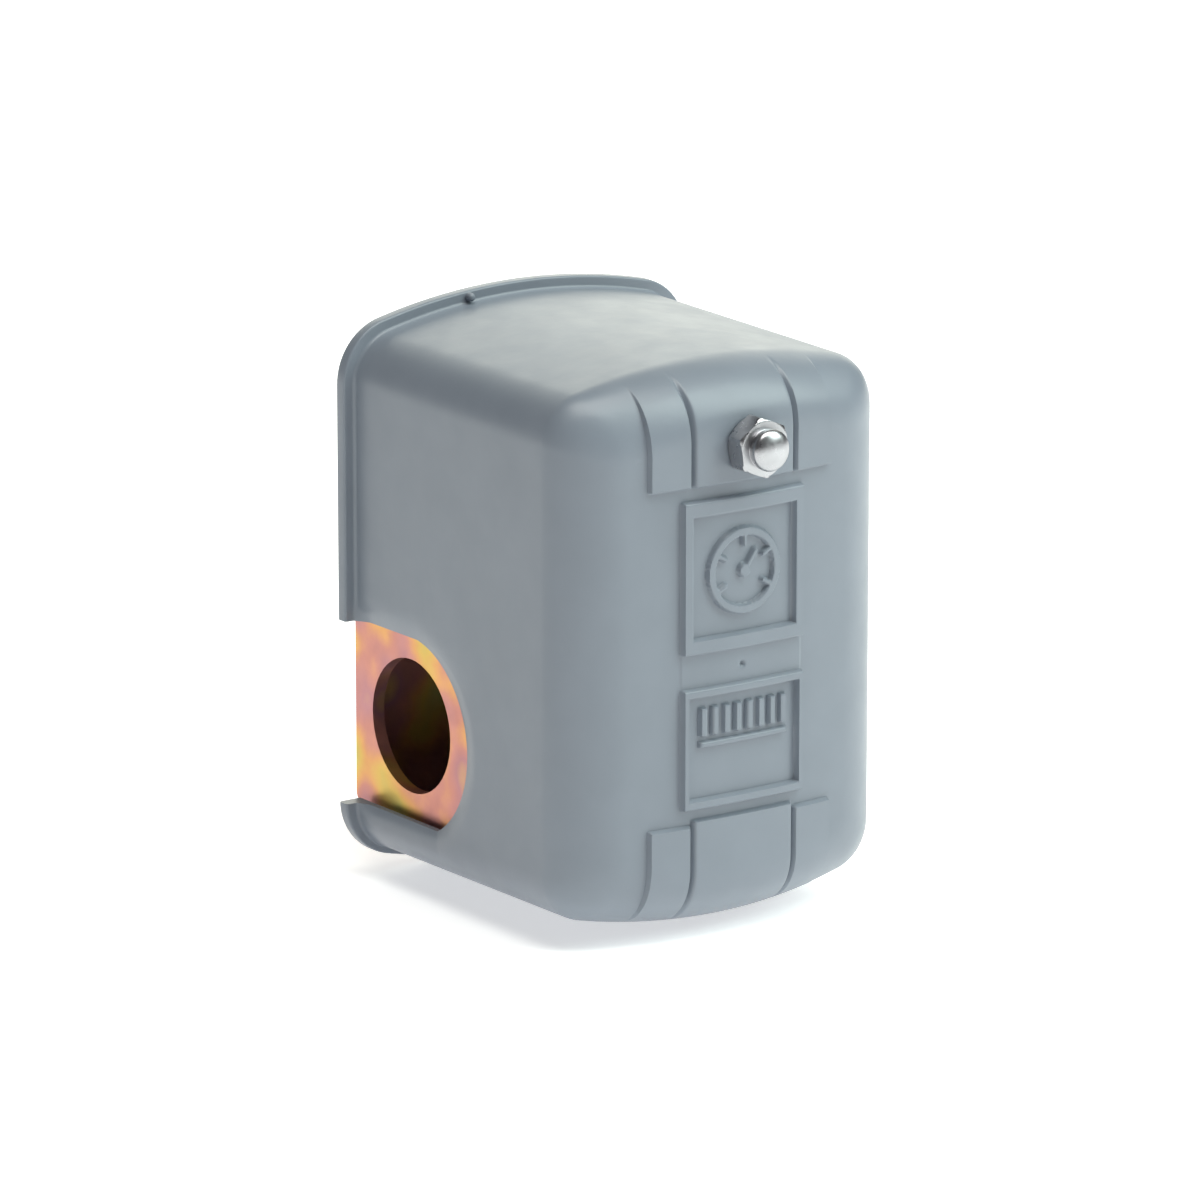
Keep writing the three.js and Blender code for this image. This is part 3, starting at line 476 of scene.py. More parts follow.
def cut_out(piece, cutter):
    """Cuts a cutter's mesh out of a piece and removes the cutter."""
    tool = bpy.data.objects.new("cutter", cutter)
    bpy.context.scene.collection.objects.link(tool)
    cut = piece.modifiers.new("cut", "BOOLEAN")
    cut.object = tool
    cut.operation = "DIFFERENCE"
    cut.solver = "EXACT"
    applied(piece)
    bpy.data.objects.remove(tool)


def block_mesh(low, high):
    corners = list(product(*zip(low, high)))
    faces = [(0, 1, 3, 2), (4, 5, 7, 6), (0, 1, 5, 4), (2, 3, 7, 6), (0, 2, 6, 4), (1, 3, 7, 5)]
    return mesh_from("block", corners, faces)


# ---- turned pieces ----


def rounded_profile(profile, radius, steps=3, closed=False):
    """The profile's points with each corner rounded off."""
    points = [np.array(p, float) for p in profile]
    count = len(points)
    result = []
    for i, point in enumerate(points):
        if not closed and i in (0, count - 1):
            result.append(point)
            continue
        before, after = points[i - 1], points[(i + 1) % count]
        reach = [min(radius, 0.45 * np.linalg.norm(other - point)) for other in (before, after)]
        start = point + (before - point) / np.linalg.norm(before - point) * reach[0]
        end = point + (after - point) / np.linalg.norm(after - point) * reach[1]
        for t in np.linspace(0, 1, steps + 1):
            result.append((1 - t) ** 2 * start + 2 * t * (1 - t) * point + t**2 * end)
    return result


BLUNT = 0.985  # share of a hexagon's corner radius that is left


class Hexagon(NamedTuple):
    """Flats cut round a turned piece between two places along Y."""

    flats: float
    start: float
    end: float
    turn: float = 0

    def reach(self, angle):
        """Distance of the outline at an angle from straight up, its corners a little blunt."""
        sixth = math.pi / 3
        along = (angle - math.radians(self.turn)) % sixth - sixth / 2
        return min(self.flats / 2 / math.cos(along), BLUNT * self.flats / math.sqrt(3))


class Thread(NamedTuple):
    """A groove wound round the stretch of one radius. In a bore its depth is negative."""

    radius: float
    start: float
    end: float
    pitch: float
    depth: float

    def divide(self, rows):
        """A profile's rows, with those on the thread close enough to show it."""
        finer = [rows[0]]
        for a, b in zip(rows, rows[1:]):
            threaded = self.is_on(a[0]) and self.is_on(b[0])
            steps = max(1, math.ceil(abs(b[1] - a[1]) / (self.pitch / 6))) if threaded else 1
            finer += [a + (b - a) * i / steps for i in range(1, steps + 1)]
        return finer

    def is_on(self, radius):
        return abs(radius - self.radius) < 1e-6

    def groove(self, radius, y, angle):
        """Depth of the groove at a point of the surface. It fades over a pitch at each end."""
        if not (self.is_on(radius) and self.start < y < self.end):
            return 0
        fade = min(1, (y - self.start) / self.pitch, (self.end - y) / self.pitch)
        return self.depth * fade * (0.5 - 0.5 * math.cos(2 * math.pi * (y / self.pitch) - angle))


def tube_faces(rows, sides, closed=False):
    """Quads between rows of points that each go once round a tube."""
    faces = []
    for r in range(rows if closed else rows - 1):
        low, high = r * sides, (r + 1) % rows * sides
        for i in range(sides):
            j = (i + 1) % sides
            faces.append((low + i, low + j, high + j, high + i))
    return faces


def turned_mesh(name, profile, x, z, sides=48, hexagon=None, thread=None, closed=False):
    """A solid of revolution along Y from (radius, y) points, with flats and a thread if given."""
    rows = thread.divide(profile) if thread else profile
    points = []
    for radius, y in rows:
        for i in range(sides):
            angle = 2 * math.pi * i / sides
            reach = radius
            if hexagon and hexagon.start <= y <= hexagon.end:
                reach = min(radius, hexagon.reach(angle))
            if thread:
                reach -= thread.groove(radius, y, angle)
            points.append((x + reach * math.sin(angle), y, z + reach * math.cos(angle)))
    return mesh_from(name, points, tube_faces(len(rows), sides, closed))


def turned(
    name, node, slot, profile, soft=0.25, sharp=38, stands_for=True, material=None, at=None, **options
):
    """A turned piece on its node's own axis, or on the one through at."""
    x, _, z = middle_of(node) if at is None else at
    rows = rounded_profile(profile, soft, closed=options.get("closed", False))
    finish(name, node, slot, turned_mesh(name, rows, x, z, **options), sharp, stands_for, material)


# ---- cover ----


def smooth(value, start, end):
    """0 up to the start, 1 from the end on, and an even bend between them."""
    t = np.clip((np.asarray(value, float) - start) / (end - start), 0, 1)
    return t * t * (3 - 2 * t)


def within(value, low, high, soft=EDGE_SOFT):
    """1 between low and high, with soft edges."""
    half = soft / 2
    return smooth(value, low - half, low + half) * (1 - smooth(value, high - half, high + half))


def stroke(x, z, start, end, half_width):
    """1 on a round-ended bar between two points."""
    start, along = np.array(start), np.array(end) - np.array(start)
    t = np.clip(((x - start[0]) * along[0] + (z - start[1]) * along[1]) / (along @ along), 0, 1)
    away = np.hypot(x - start[0] - t * along[0], z - start[1] - t * along[1])
    return within(away, -1, half_width)


def gauge_sign(x, z):
    """A plain dial with ticks and a needle."""
    z = z - DIAL_Z
    from_middle = np.hypot(x, z)
    sign = within(from_middle, DIAL_RADIUS - DIAL_HALF_WIDTH, DIAL_RADIUS + DIAL_HALF_WIDTH)
    sign = np.maximum(sign, within(from_middle, -1, HUB_RADIUS))
    ticks = [(degrees, TICK_START, DIAL_RADIUS) for degrees in TICK_DEGREES]
    for degrees, inner, outer in [*ticks, (NEEDLE_DEGREES, 0, NEEDLE_LENGTH)]:
        way = np.array([math.sin(math.radians(degrees)), math.cos(math.radians(degrees))])
        sign = np.maximum(sign, stroke(x, z, inner * way, outer * way, BAR_HALF_WIDTH))
    return sign


def rib_sign(x, z):
    """A row of short upright ribs over a bar."""
    sign = within(np.abs(x), -1, SIGN_HALF_WIDTH) * within(z, *SIGN_BAR)
    for step in range(RIBS):
        middle = (step - (RIBS - 1) / 2) * RIB_STEP
        rib = within(x, middle - RIB_HALF_WIDTH, middle + RIB_HALF_WIDTH) * within(z, *RIB_SPAN)
        sign = np.maximum(sign, rib)
    return sign


def band_figure(across, z):
    """The broad bands over the top and bottom edges, each parted by two narrow grooves."""
    bottom_edge = np.where(across < BAND_GROOVE, BAND_EDGE - BAND_STEP, BAND_EDGE)
    groove = np.clip(1 - np.abs(across - BAND_GROOVE) / GROOVE_HALF_WIDTH, 0, 1)
    ends = np.maximum(
        smooth(z, BAND_EDGE - EDGE_SOFT / 2, BAND_EDGE + EDGE_SOFT / 2),
        smooth(-z, bottom_edge - EDGE_SOFT / 2, bottom_edge + EDGE_SOFT / 2),
    )
    return within(across, -1, BAND_HALF_WIDTH) * (1 - groove) * ends


def panel_border(across, z, panel, field, field_half_width):
    """A panel's raised border around its sunk field."""
    outer = within(across, -1, PANEL_HALF_WIDTH) * within(z, *panel)
    return outer - within(across, -1, field_half_width) * within(z, *field)


def figures(x, z):
    """Height of the raised figures at a point of the face, about the cover's middle."""
    across = np.abs(x)
    upper = panel_border(across, z, UPPER_PANEL, UPPER_FIELD, UPPER_FIELD_HALF_WIDTH)
    lower = panel_border(across, z, LOWER_PANEL, LOWER_FIELD, LOWER_FIELD_HALF_WIDTH)
    between = within(across, -1, PANEL_HALF_WIDTH) * within(z, LOWER_PANEL[1], UPPER_PANEL[0])
    dimple = np.exp(-((x / DIMPLE_RADIUS) ** 2) - ((z - DIMPLE_Z) / DIMPLE_RADIUS) ** 2)
    figure = band_figure(across, z) + STRIP_SHARE * between - DIMPLE_SHARE * dimple
    figure = figure + SIGN_SHARE * (gauge_sign(x, z) + rib_sign(x, z))
    return FIGURE_HEIGHT * figure + PANEL_HEIGHT * (upper + lower)


def graded(low, high, fine_spans):
    """Places from low to high, close together in the fine spans and farther apart between them."""
    ends = sorted({low, high, *(end for span in fine_spans for end in span)})
    places = [low]
    for a, b in zip(ends, ends[1:]):
        is_fine = any(s <= a and b <= e for s, e in fine_spans)
        steps = max(1, math.ceil((b - a) / (FINE_STEP if is_fine else COARSE_STEP)))
        places += [a + (b - a) * i / steps for i in range(1, steps + 1)]
    return np.array(places)


def mirrored(spans):
    """Spans on the right and their mirror images, from left to right."""
    return [(-high, -low) for low, high in reversed(spans)] + spans


# steps down one side: along the bow, round the corner, above the cut-out and beside it
BOW_STEPS = 8
CORNER_STEPS = 18
OVER_STEPS = 22
BESIDE_STEPS = 36
DRAW_IN = 1.6  # draws the steps above the cut-out together towards its edge
OFF_SIDE = 99.0  # run of the points on the bowed top and bottom edges


class Ring:
    """The cover's outline at one depth and inset."""

    def __init__(self, depth, inset=0.0):
        draft = DRAFT * max(0, (depth - FRONT_ROUND) / (COVER_DEPTH - FRONT_ROUND))
        grow = draft - inset
        half_width = HALF_WIDTH + grow
        sag = SAG * half_width / HALF_WIDTH
        self.corner = CORNER * (1 - CORNER_LOSS * inset / FRONT_ROUND)
        self.bow = (half_width**2 + sag**2) / (2 * sag)
        self.bow_z = HALF_HEIGHT + grow - self.bow
        self.corner_x = half_width - self.corner
        self.corner_z = self.bow_z + math.sqrt((self.bow - self.corner) ** 2 - self.corner_x**2)
        self.meet = math.atan2(self.corner_z - self.bow_z, self.corner_x)

    def top(self, x):
        """Height of the bowed top edge at x, and its outward normal."""
        z = self.bow_z + np.sqrt(self.bow**2 - np.asarray(x) ** 2)
        return z, np.asarray(x) / self.bow, (z - self.bow_z) / self.bow

    def side(self):
        """Points (x, z, normal x, normal z, run) down the right side. Run is z on the straight
        stretch and goes on along the corners."""
        rows = []
        first = math.acos(FACE_HALF_WIDTH / self.bow)
        for angle in np.linspace(first, self.meet, BOW_STEPS, endpoint=False):
            ways = math.cos(angle), math.sin(angle)
            rows.append((self.bow * ways[0], self.bow_z + self.bow * ways[1], *ways, OFF_SIDE))
        for angle in np.linspace(self.meet, 0, CORNER_STEPS, endpoint=False):
            ways = math.cos(angle), math.sin(angle)
            run = self.corner_z + self.corner * angle
            x = self.corner_x + self.corner * ways[0]
            rows.append((x, self.corner_z + self.corner * ways[1], *ways, run))
        upper = np.array(rows)
        lower = upper[::-1] * (1, -1, 1, -1, -1)
        edge = self.corner_x + self.corner
        middle = [(edge, z, 1, 0, z) for z in side_places(self.corner_z)]
        return np.vstack([upper, middle, lower])


def side_places(corner_z):
    """Places down the side's straight stretch. On the wall two of them lie on the cut-out's
    edges. Towards the face the stretch is shorter and they draw together."""
    wall_z = Ring(FRONT_ROUND).corner_z
    down = 1 - (1 - np.linspace(0, 1, OVER_STEPS + 1)[1:]) ** DRAW_IN
    beside = (1 - np.cos(np.linspace(0, math.pi, BESIDE_STEPS + 1)[1:])) / 2
    over_cutout = wall_z + (CUTOUT_TOP - wall_z) * down
    at_cutout = CUTOUT_TOP + (CUTOUT_BOTTOM - CUTOUT_TOP) * beside
    share = min(1, corner_z / wall_z)
    return [corner_z, *(share * over_cutout), *(share * at_cutout), -corner_z]


def cutout_depth(z):
    """Depth of the cut-out's round edge at height z."""
    z = np.clip(z, CUTOUT_BOTTOM, CUTOUT_TOP)
    return CUTOUT_DEPTH - np.sqrt(CUTOUT_RADIUS**2 - (z - CUTOUT_Z) ** 2)


def lip(depth, run):
    """How far the sheet turns in beside the cut-out's edge, down to nothing at the rim."""
    band = np.maximum(run - CUTOUT_TOP, CUTOUT_BOTTOM - run)
    around = np.hypot(np.minimum(depth - CUTOUT_DEPTH, 0), run - CUTOUT_Z) - CUTOUT_RADIUS
    away = np.clip(np.maximum(band, around), 0, LIP_WIDTH)
    fade = 1 - smooth(depth, COVER_DEPTH - LIP_END, COVER_DEPTH - RIM_THICK)
    return LIP_DEPTH * (1 - away / LIP_WIDTH) ** LIP_CURVE * fade


# stretches of the face, across and up, where figures need a fine grid
NEAR = 0.3
WIDE = 0.4
FINE_ACROSS = [
    (0, SIGN_HALF_WIDTH + NEAR),
    (BAND_GROOVE - 0.7, PANEL_HALF_WIDTH + WIDE),
    (BAND_HALF_WIDTH - NEAR, BAND_HALF_WIDTH + NEAR),
]
FINE_UP = [
    (-BAND_EDGE - WIDE, -BAND_EDGE + BAND_STEP + WIDE),
    (LOWER_PANEL[0] - NEAR, LOWER_FIELD[0] + NEAR),
    (SIGN_BAR[0] - NEAR, LOWER_PANEL[1] + NEAR),
    (DIMPLE_Z - 1.0, DIMPLE_Z + 1.0),
    (UPPER_PANEL[0] - NEAR, UPPER_PANEL[1] + NEAR),
    (BAND_EDGE - WIDE, BAND_EDGE + WIDE),
]
FINE_STEP = 0.19
COARSE_STEP = 1.3
INNER_COLUMNS = 25
INNER_ROWS = 30
ARCH_START = BAND_EDGE + 0.8  # past this height the face's rows bow with its top edge
PAST_BANDS = 40  # a height at which the bands have their full relief

# the bands fade out between these turns of the rounded edge
FADE_START = math.radians(15)
FADE_END = math.radians(75)

# steps over the rounded edge, along the wall, over the lip, past the cut-out and over the rim
ROUND_STEPS = 26
FRONT_STEPS = 10
LIP_STEPS = 12
BACK_STEPS = 12
RIM_STEPS = 6


class Skin:
    """The cover's outer or inner surface as grids of points: the face, and for each of the four
    runs around it a grid that goes over the rounded edge and back to the rim."""

    def __init__(self, outer):
        self.outer = outer
        face_top = Ring(0, FRONT_ROUND).top(FACE_HALF_WIDTH)[0]
        if outer:
            self.x = graded(-FACE_HALF_WIDTH, FACE_HALF_WIDTH, mirrored(FINE_ACROSS))
            self.z = graded(-face_top, face_top, FINE_UP)
        else:
            self.x = np.linspace(-FACE_HALF_WIDTH, FACE_HALF_WIDTH, INNER_COLUMNS)
            self.z = np.linspace(-face_top, face_top, INNER_ROWS)
        self.face = self.face_grid(face_top)
        self.runs = {name: self.run_grid(name) for name in ("top", "left", "bottom", "right")}

    def at(self, x, z, depth, turn, normal_x, normal_z, raised):
        """Points of the skin. turn is the angle from facing forwards to facing out."""
        offset = raised if self.outer else -WALL
        bow = FACE_BOW * (x / HALF_WIDTH) ** 2 * np.cos(turn)
        y = COVER_FRONT + depth + bow - offset * np.cos(turn)
        out = offset * np.sin(turn)
        return np.stack(np.broadcast_arrays(x + out * normal_x, y, COVER_Z + z + out * normal_z), -1)

    def face_grid(self, face_top):
        x, level = np.meshgrid(self.x, self.z)
        arch = Ring(0, FRONT_ROUND).top(x)[0] - face_top
        share = np.clip((np.abs(level) - ARCH_START) / (face_top - ARCH_START), 0, 1)
        z = level + np.sign(level) * arch * share
        return self.at(x, z, 0, 0, 0, 0, figures(x, z))

    def line(self, name, ring):
        """x, z, normal x, normal z and run of the ring's points on one of its four runs."""
        if name in ("top", "bottom"):
            z, normal_x, normal_z = ring.top(self.x)
            sign = 1 if name == "top" else -1
            return self.x, sign * z, normal_x, sign * normal_z, np.full_like(z, sign * OFF_SIDE)
        rows = ring.side().T
        sign = 1 if name == "right" else -1
        return sign * rows[0], rows[1], sign * rows[2], rows[3], rows[4]

    def run_grid(self, name):
        return np.array([*self.round_rows(name), *self.wall_rows(name), *self.rim_rows(name)])

    def round_rows(self, name):
        """Rows over the rounded edge around the face."""
        for turn in np.linspace(0, math.pi / 2, ROUND_STEPS + 1):
            depth = FRONT_ROUND * (1 - math.cos(turn))
            x, z, *normal, _ = self.line(name, Ring(depth, FRONT_ROUND * (1 - math.sin(turn))))
            fade = 1 - smooth(turn, FADE_START, FADE_END)
            raised = figures(x, np.sign(z) * PAST_BANDS) * fade if name in ("top", "bottom") else 0
            yield self.at(x, z, depth, turn, *normal, raised)

    def wall_rows(self, name):
        """Rows of the wall: to the start of the lip, over the lip, and on to the rim's fillet."""
        run = self.line(name, Ring(COVER_DEPTH))[-1]
        edge = cutout_depth(run)
        start = edge - LIP_WIDTH - LIP_MARGIN
        end = COVER_DEPTH - RIM_THICK - RIM_LEAN - self.fillet(run)
        stretches = [(FRONT_ROUND, start, FRONT_STEPS), (start, edge, LIP_STEPS), (edge, end, BACK_STEPS)]
        for low, high, steps in stretches:
            for share in np.linspace(0, 1, steps + 1)[1:]:
                yield self.wall_row(name, low + (high - low) * share)

    def wall_row(self, name, depth, flange=0.0):
        """One row at a depth for each point, moved out by a share of the rim's width."""
        lines = [self.line(name, Ring(level)) for level in (FRONT_ROUND, COVER_DEPTH)]
        share = (depth - FRONT_ROUND) / (COVER_DEPTH - FRONT_ROUND)
        x, z, normal_x, normal_z, run = (a + (b - a) * share for a, b in zip(*lines))
        width = RIM_SIDE + (RIM_TOP - RIM_SIDE) * np.clip(normal_z, 0, 1)
        width = width + (RIM_BOTTOM - RIM_SIDE) * np.clip(-normal_z, 0, 1)
        raised = flange * width - lip(depth, run)
        return self.at(x, z, depth, math.pi / 2, normal_x, normal_z, raised)

    @staticmethod
    def fillet(run):
        """How far along the wall the rim's fillet begins."""
        return FILLET + FILLET_GROWTH * smooth(-np.abs(run - CUTOUT_TOP), -FILLET_REACH, 0)

    def rim_rows(self, name):
        """Rows over the rim's fillet, its outer edge and its back corner."""
        run = self.line(name, Ring(COVER_DEPTH))[-1]
        front = COVER_DEPTH - RIM_THICK
        edge = EDGE_ROUND / RIM_SIDE
        for angle in np.linspace(0, math.pi / 2, RIM_STEPS + 1)[1:]:
            depth = front - RIM_LEAN - self.fillet(run) * (1 - math.sin(angle))
            yield self.wall_row(name, depth, FILLET * (1 - math.cos(angle)) / RIM_SIDE)
        for angle in np.linspace(0, math.pi / 2, RIM_STEPS):
            depth = np.full_like(run, front + EDGE_ROUND * (1 - math.cos(angle)))
            yield self.wall_row(name, depth, 1 - edge * (1 - math.sin(angle)))
        for angle in np.linspace(0, math.pi / 2, RIM_STEPS):
            depth = np.full_like(run, COVER_DEPTH - EDGE_ROUND * (1 - math.sin(angle)))
            yield self.wall_row(name, depth, 1 - edge * (1 - math.cos(angle)))


class Surface:
    """Points and faces gathered patch by patch."""

    def __init__(self):
        self.points = []
        self.faces = []

    def add(self, grid):
        """Adds a grid of points and returns their numbers in the same layout."""
        first = len(self.points)
        self.points += grid.reshape(-1, 3).tolist()
        return np.arange(first, len(self.points)).reshape(grid.shape[:2])

    def fill(self, numbers, keep=None):
        """Fills a grid with quads, leaving out those that keep says no to."""
        for r in range(numbers.shape[0] - 1):
            for c in range(numbers.shape[1] - 1):
                if keep is None or keep(r, c):
                    a, b = numbers[r, c], numbers[r, c + 1]
                    self.faces.append((a, b, numbers[r + 1, c + 1], numbers[r + 1, c]))

    def zip(self, left, right):
        """Joins two lines of points with different spacing by a row of triangles."""
        shares = []
        for line in (left, right):
            points = np.array([self.points[i] for i in line])
            lengths = np.r_[0, np.cumsum(np.linalg.norm(np.diff(points, axis=0), axis=1))]
            shares.append(lengths / lengths[-1])
        i = j = 0
        while i < len(left) - 1 or j < len(right) - 1:
            next_left = shares[0][i + 1] if i < len(left) - 1 else 2
            next_right = shares[1][j + 1] if j < len(right) - 1 else 2
            if next_left <= next_right:
                self.faces.append((left[i], left[i + 1], right[j]))
                i += 1
            else:
                self.faces.append((left[i], right[j + 1], right[j]))
                j += 1


def cover_mesh():
    """Both skins, joined along the rim's back and around the side cut-outs."""
    surface = Surface()
    edge_row = ROUND_STEPS + FRONT_STEPS + LIP_STEPS
    sides = []
    for outer in (True, False):
        skin = Skin(outer)
        face = surface.add(skin.face)
        surface.fill(face)
        runs = {name: surface.add(grid) for name, grid in skin.runs.items()}
        marks = skin.line("right", Ring(COVER_DEPTH))[-1]
        first = int(np.argmin(np.abs(marks - CUTOUT_TOP)))
        last = int(np.argmin(np.abs(marks - CUTOUT_BOTTOM)))
        for name, numbers in runs.items():
            open_side = name in ("left", "right")
            surface.fill(numbers, lambda r, c: not (open_side and r >= edge_row and first <= c < last))
        surface.zip(face[::-1, 0].tolist(), runs["left"][0].tolist())
        surface.zip(face[::-1, -1].tolist(), runs["right"][0].tolist())
        sides.append(runs)
    for name in ("top", "bottom"):
        surface.zip(*(runs[name][-1].tolist() for runs in sides))
    for name in ("left", "right"):
        outer, inner = (runs[name] for runs in sides)
        edges = [
            (outer[-1, : first + 1], inner[-1, : first + 1]),
            (outer[edge_row:, first], inner[edge_row:, first]),
            (outer[edge_row, first : last + 1], inner[edge_row, first : last + 1]),
            (outer[edge_row:, last], inner[edge_row:, last]),
            (outer[-1, last:], inner[-1, last:]),
        ]
        for pair in edges:
            surface.fill(np.array(pair))
    return mesh_from("cover_shell", surface.points, surface.faces)


def make_cover():
    """The painted sheet, with the hole that its stud passes through."""
    piece = add_object("cover_shell", cover_mesh(), FINISHES["cover_enamel"])
    x, _, z = middle_of("range_stud")
    before, behind = COVER_FRONT - 5, COVER_FRONT + 5
    hole = [(0, before), (STUD_HOLE_RADIUS, before), (STUD_HOLE_RADIUS, behind), (0, behind)]
    cut_out(piece, turned_mesh("hole", hole, x, z, sides=32))
    soften(piece, 50)
    hold(piece, "cover")


def make_rim_nub():
    """A small round-nosed nub that stands out from the front of the rim's top edge."""
    rim_front = cover_high[1] - RIM_THICK
    nose, root = rim_front - NUB_LENGTH, rim_front + NUB_ROOT
    profile = [
        (0, nose), (NUB_RADIUS - 0.2, nose + 0.1), (NUB_RADIUS, nose + 0.6), (NUB_RADIUS, root), (0, root),
    ]
    place = (NUB_X, 0, cover_high[2] - NUB_DROP)
    turned("cover_rim_nub", "cover", "cover_enamel", profile, at=place, sides=20, stands_for=False)


# ---- nuts, studs and screws ----


def make_cap_nut():
    """A chamfered hexagon with a short neck and a low dome, bored for the stud."""
    low, high = box_of("cap_nut")
    back, tip = high[1], low[1]
    front = back - CAP_HEX_THICK
    dome = front - CAP_NECK
    corner = CAP_FLATS / math.sqrt(3)
    bore_end = box_of("range_stud")[0][1] - 0.3
    profile = [
        (0, bore_end), (2.2, bore_end + 1), (2.35, back), (corner - 0.7, back), (corner, back - 0.5),
        (corner, front + 0.4), (corner - 0.6, front), (3.05, front - 0.05), (3.05, front - 0.45),
        (CAP_DOME_RADIUS, front - 0.8), (CAP_DOME_RADIUS, dome),
    ]
    rows = rounded_profile(profile, 0.16)
    for angle in np.radians(np.linspace(0, 90, 14)):
        reach = CAP_DOME_RADIUS * math.cos(angle)
        rows.append(np.array([reach, dome - (dome - tip) * math.sin(angle)]))
    x, _, z = middle_of("range_stud")
    hexagon = Hexagon(CAP_FLATS, front, back, CAP_TURN)
    mesh = turned_mesh("cap_nut_body", rows, x, z, sides=96, hexagon=hexagon)
    finish("cap_nut_body", "cap_nut", "bright_zinc", mesh, sharp=30)


def make_stud(node, radius, pitch, end_radius=None, end_length=0):
    """A clinched stud with a collar and a thread. Its end can be thinner over some length."""
    low, high = box_of(node)
    collar = (high - low)[0] / 2
    seat = high[1] - 2.0
    tip = low[1]
    profile = [
        (0, high[1]), (radius, high[1]), (radius, seat), (collar, seat), (collar, seat - 1.9),
        (radius, seat - 1.9),
    ]
    thread_end = tip + 1
    if end_radius:
        thread_end = tip + end_length
        profile += [(radius, thread_end), (end_radius, thread_end - 1)]
    top = end_radius or radius
    profile += [(top, tip + 0.6), (top - 0.6, tip), (0, tip)]
    thread = Thread(radius, thread_end, seat - 5, pitch, depth=0.09 * pitch + 0.25)
    turned(f"{node}_threaded", node, "bright_zinc", profile, soft=0.15, sharp=45, sides=36, thread=thread)


def make_nut(node, flats, hole, turn):
    """A chamfered hexagon nut."""
    low, high = box_of(node)
    corner = flats / math.sqrt(3) + 0.05
    y0, y1 = high[1], low[1]
    profile = [
        (hole + 0.3, y0), (corner - 0.5, y0), (corner, y0 - 0.4), (corner, y1 + 0.4), (corner - 0.5, y1),
        (hole + 0.3, y1), (hole, y1 + 0.3), (hole, y0 - 0.3),
    ]
    turned(
        f"{node}_hex", node, "bright_zinc", profile, soft=0.12, sharp=30, sides=72,
        hexagon=Hexagon(flats, y1, y0, turn), closed=True,
    )


def make_seat(node, boss, hole):
    """A spring's seat: a washer with a boss that the coils fit round."""
    low, high = box_of(node)
    radius = (high - low)[0] / 2
    back, front = high[1], low[1]
    shoulder = front + 1.2
    profile = [
        (hole, back), (boss, back), (boss, shoulder), (radius, shoulder), (radius, front), (hole, front),
    ]
    turned(f"{node}_washer", node, "bright_zinc", profile, soft=0.3, closed=True)


def make_pin(node):
    """A pivot pin along X with peened ends."""
    low, high = box_of(node)
    radius = (high - low)[2] / 2
    _, y, z = middle_of(node)
    rows = rounded_profile([(0, low[0]), (radius, low[0]), (radius, high[0]), (0, high[0])], 0.4)
    sides = 28
    points = []
    for reach, x in rows:
        for i in range(sides):
            angle = 2 * math.pi * i / sides
            points.append((x, y + reach * math.cos(angle), z + reach * math.sin(angle)))
    mesh = mesh_from(node, points, tube_faces(len(rows), sides))
    finish(f"{node}_bar", node, "bright_zinc", mesh)


def make_slotted_screw(node, slot, head):
    """A washer-head screw with a slot across its head, whose radius is given."""
    low, high = box_of(node)
    x, _, z = middle_of(node)
    seat = low[1] + 2.7
    shank = 1.7
    profile = [
        (0, high[1]), (shank - 0.4, high[1]), (shank, high[1] - 0.4), (shank, seat), (head + 0.6, seat),
        (head + 0.6, seat - 0.6), (head, seat - 0.8), (head, seat - 2.3), (head - 0.7, low[1]), (0, low[1]),
    ]
    name = f"{node}_head"
    rows = rounded_profile(profile, 0.18)
    thread = Thread(shank, seat + 0.3, high[1] - 0.2, pitch=0.8, depth=0.3)
    piece = add_object(name, turned_mesh(name, rows, x, z, sides=36, thread=thread), FINISHES[slot])
    cut_out(piece, block_mesh((x - 5, low[1] - 1, z - 0.5), (x + 5, seat - 1.5, z + 0.5)))
    soften(piece, 32)
    hold(piece, node)


def make_housing_screw(node):
    """A screw with a hexagon head, sunk a little on top."""
    low, high = box_of(node)
    corner = SCREW_FLATS / math.sqrt(3) + 0.05
    seat = high[1] - 2.4
    profile = [
        (0, low[1]), (1.7, low[1]), (1.7, seat), (corner, seat), (corner, high[1] - 0.5),
        (corner - 0.5, high[1]), (1.9, high[1]), (1.6, high[1] - 0.3), (0, high[1] - 0.3),
    ]
    turned(
        f"{node}_head", node, "bright_zinc", profile, soft=0.12, sharp=30, sides=72,
        hexagon=Hexagon(SCREW_FLATS, seat, high[1]),
    )


# ---- springs ----


def coil_line(t, radius, turns, wire, start, end, x, z):
    """Centre of the wire along a spring whose end turns lie flat, with t from 0 to 1."""
    angle = 2 * math.pi * turns * t
    closed = END_TURNS / turns
    advance = math.copysign(CLOSED_PITCH * wire * turns, end - start)
    rise = np.clip((t - closed) / (1 - 2 * closed), 0, 1)
    flat = advance * (np.minimum(t, closed) + np.maximum(t - 1 + closed, 0))
    open_length = end - start - advance * 2 * closed
    y = start + flat + open_length * rise
    return np.stack([x + radius * np.cos(angle), y, z + radius * np.sin(angle)], -1)


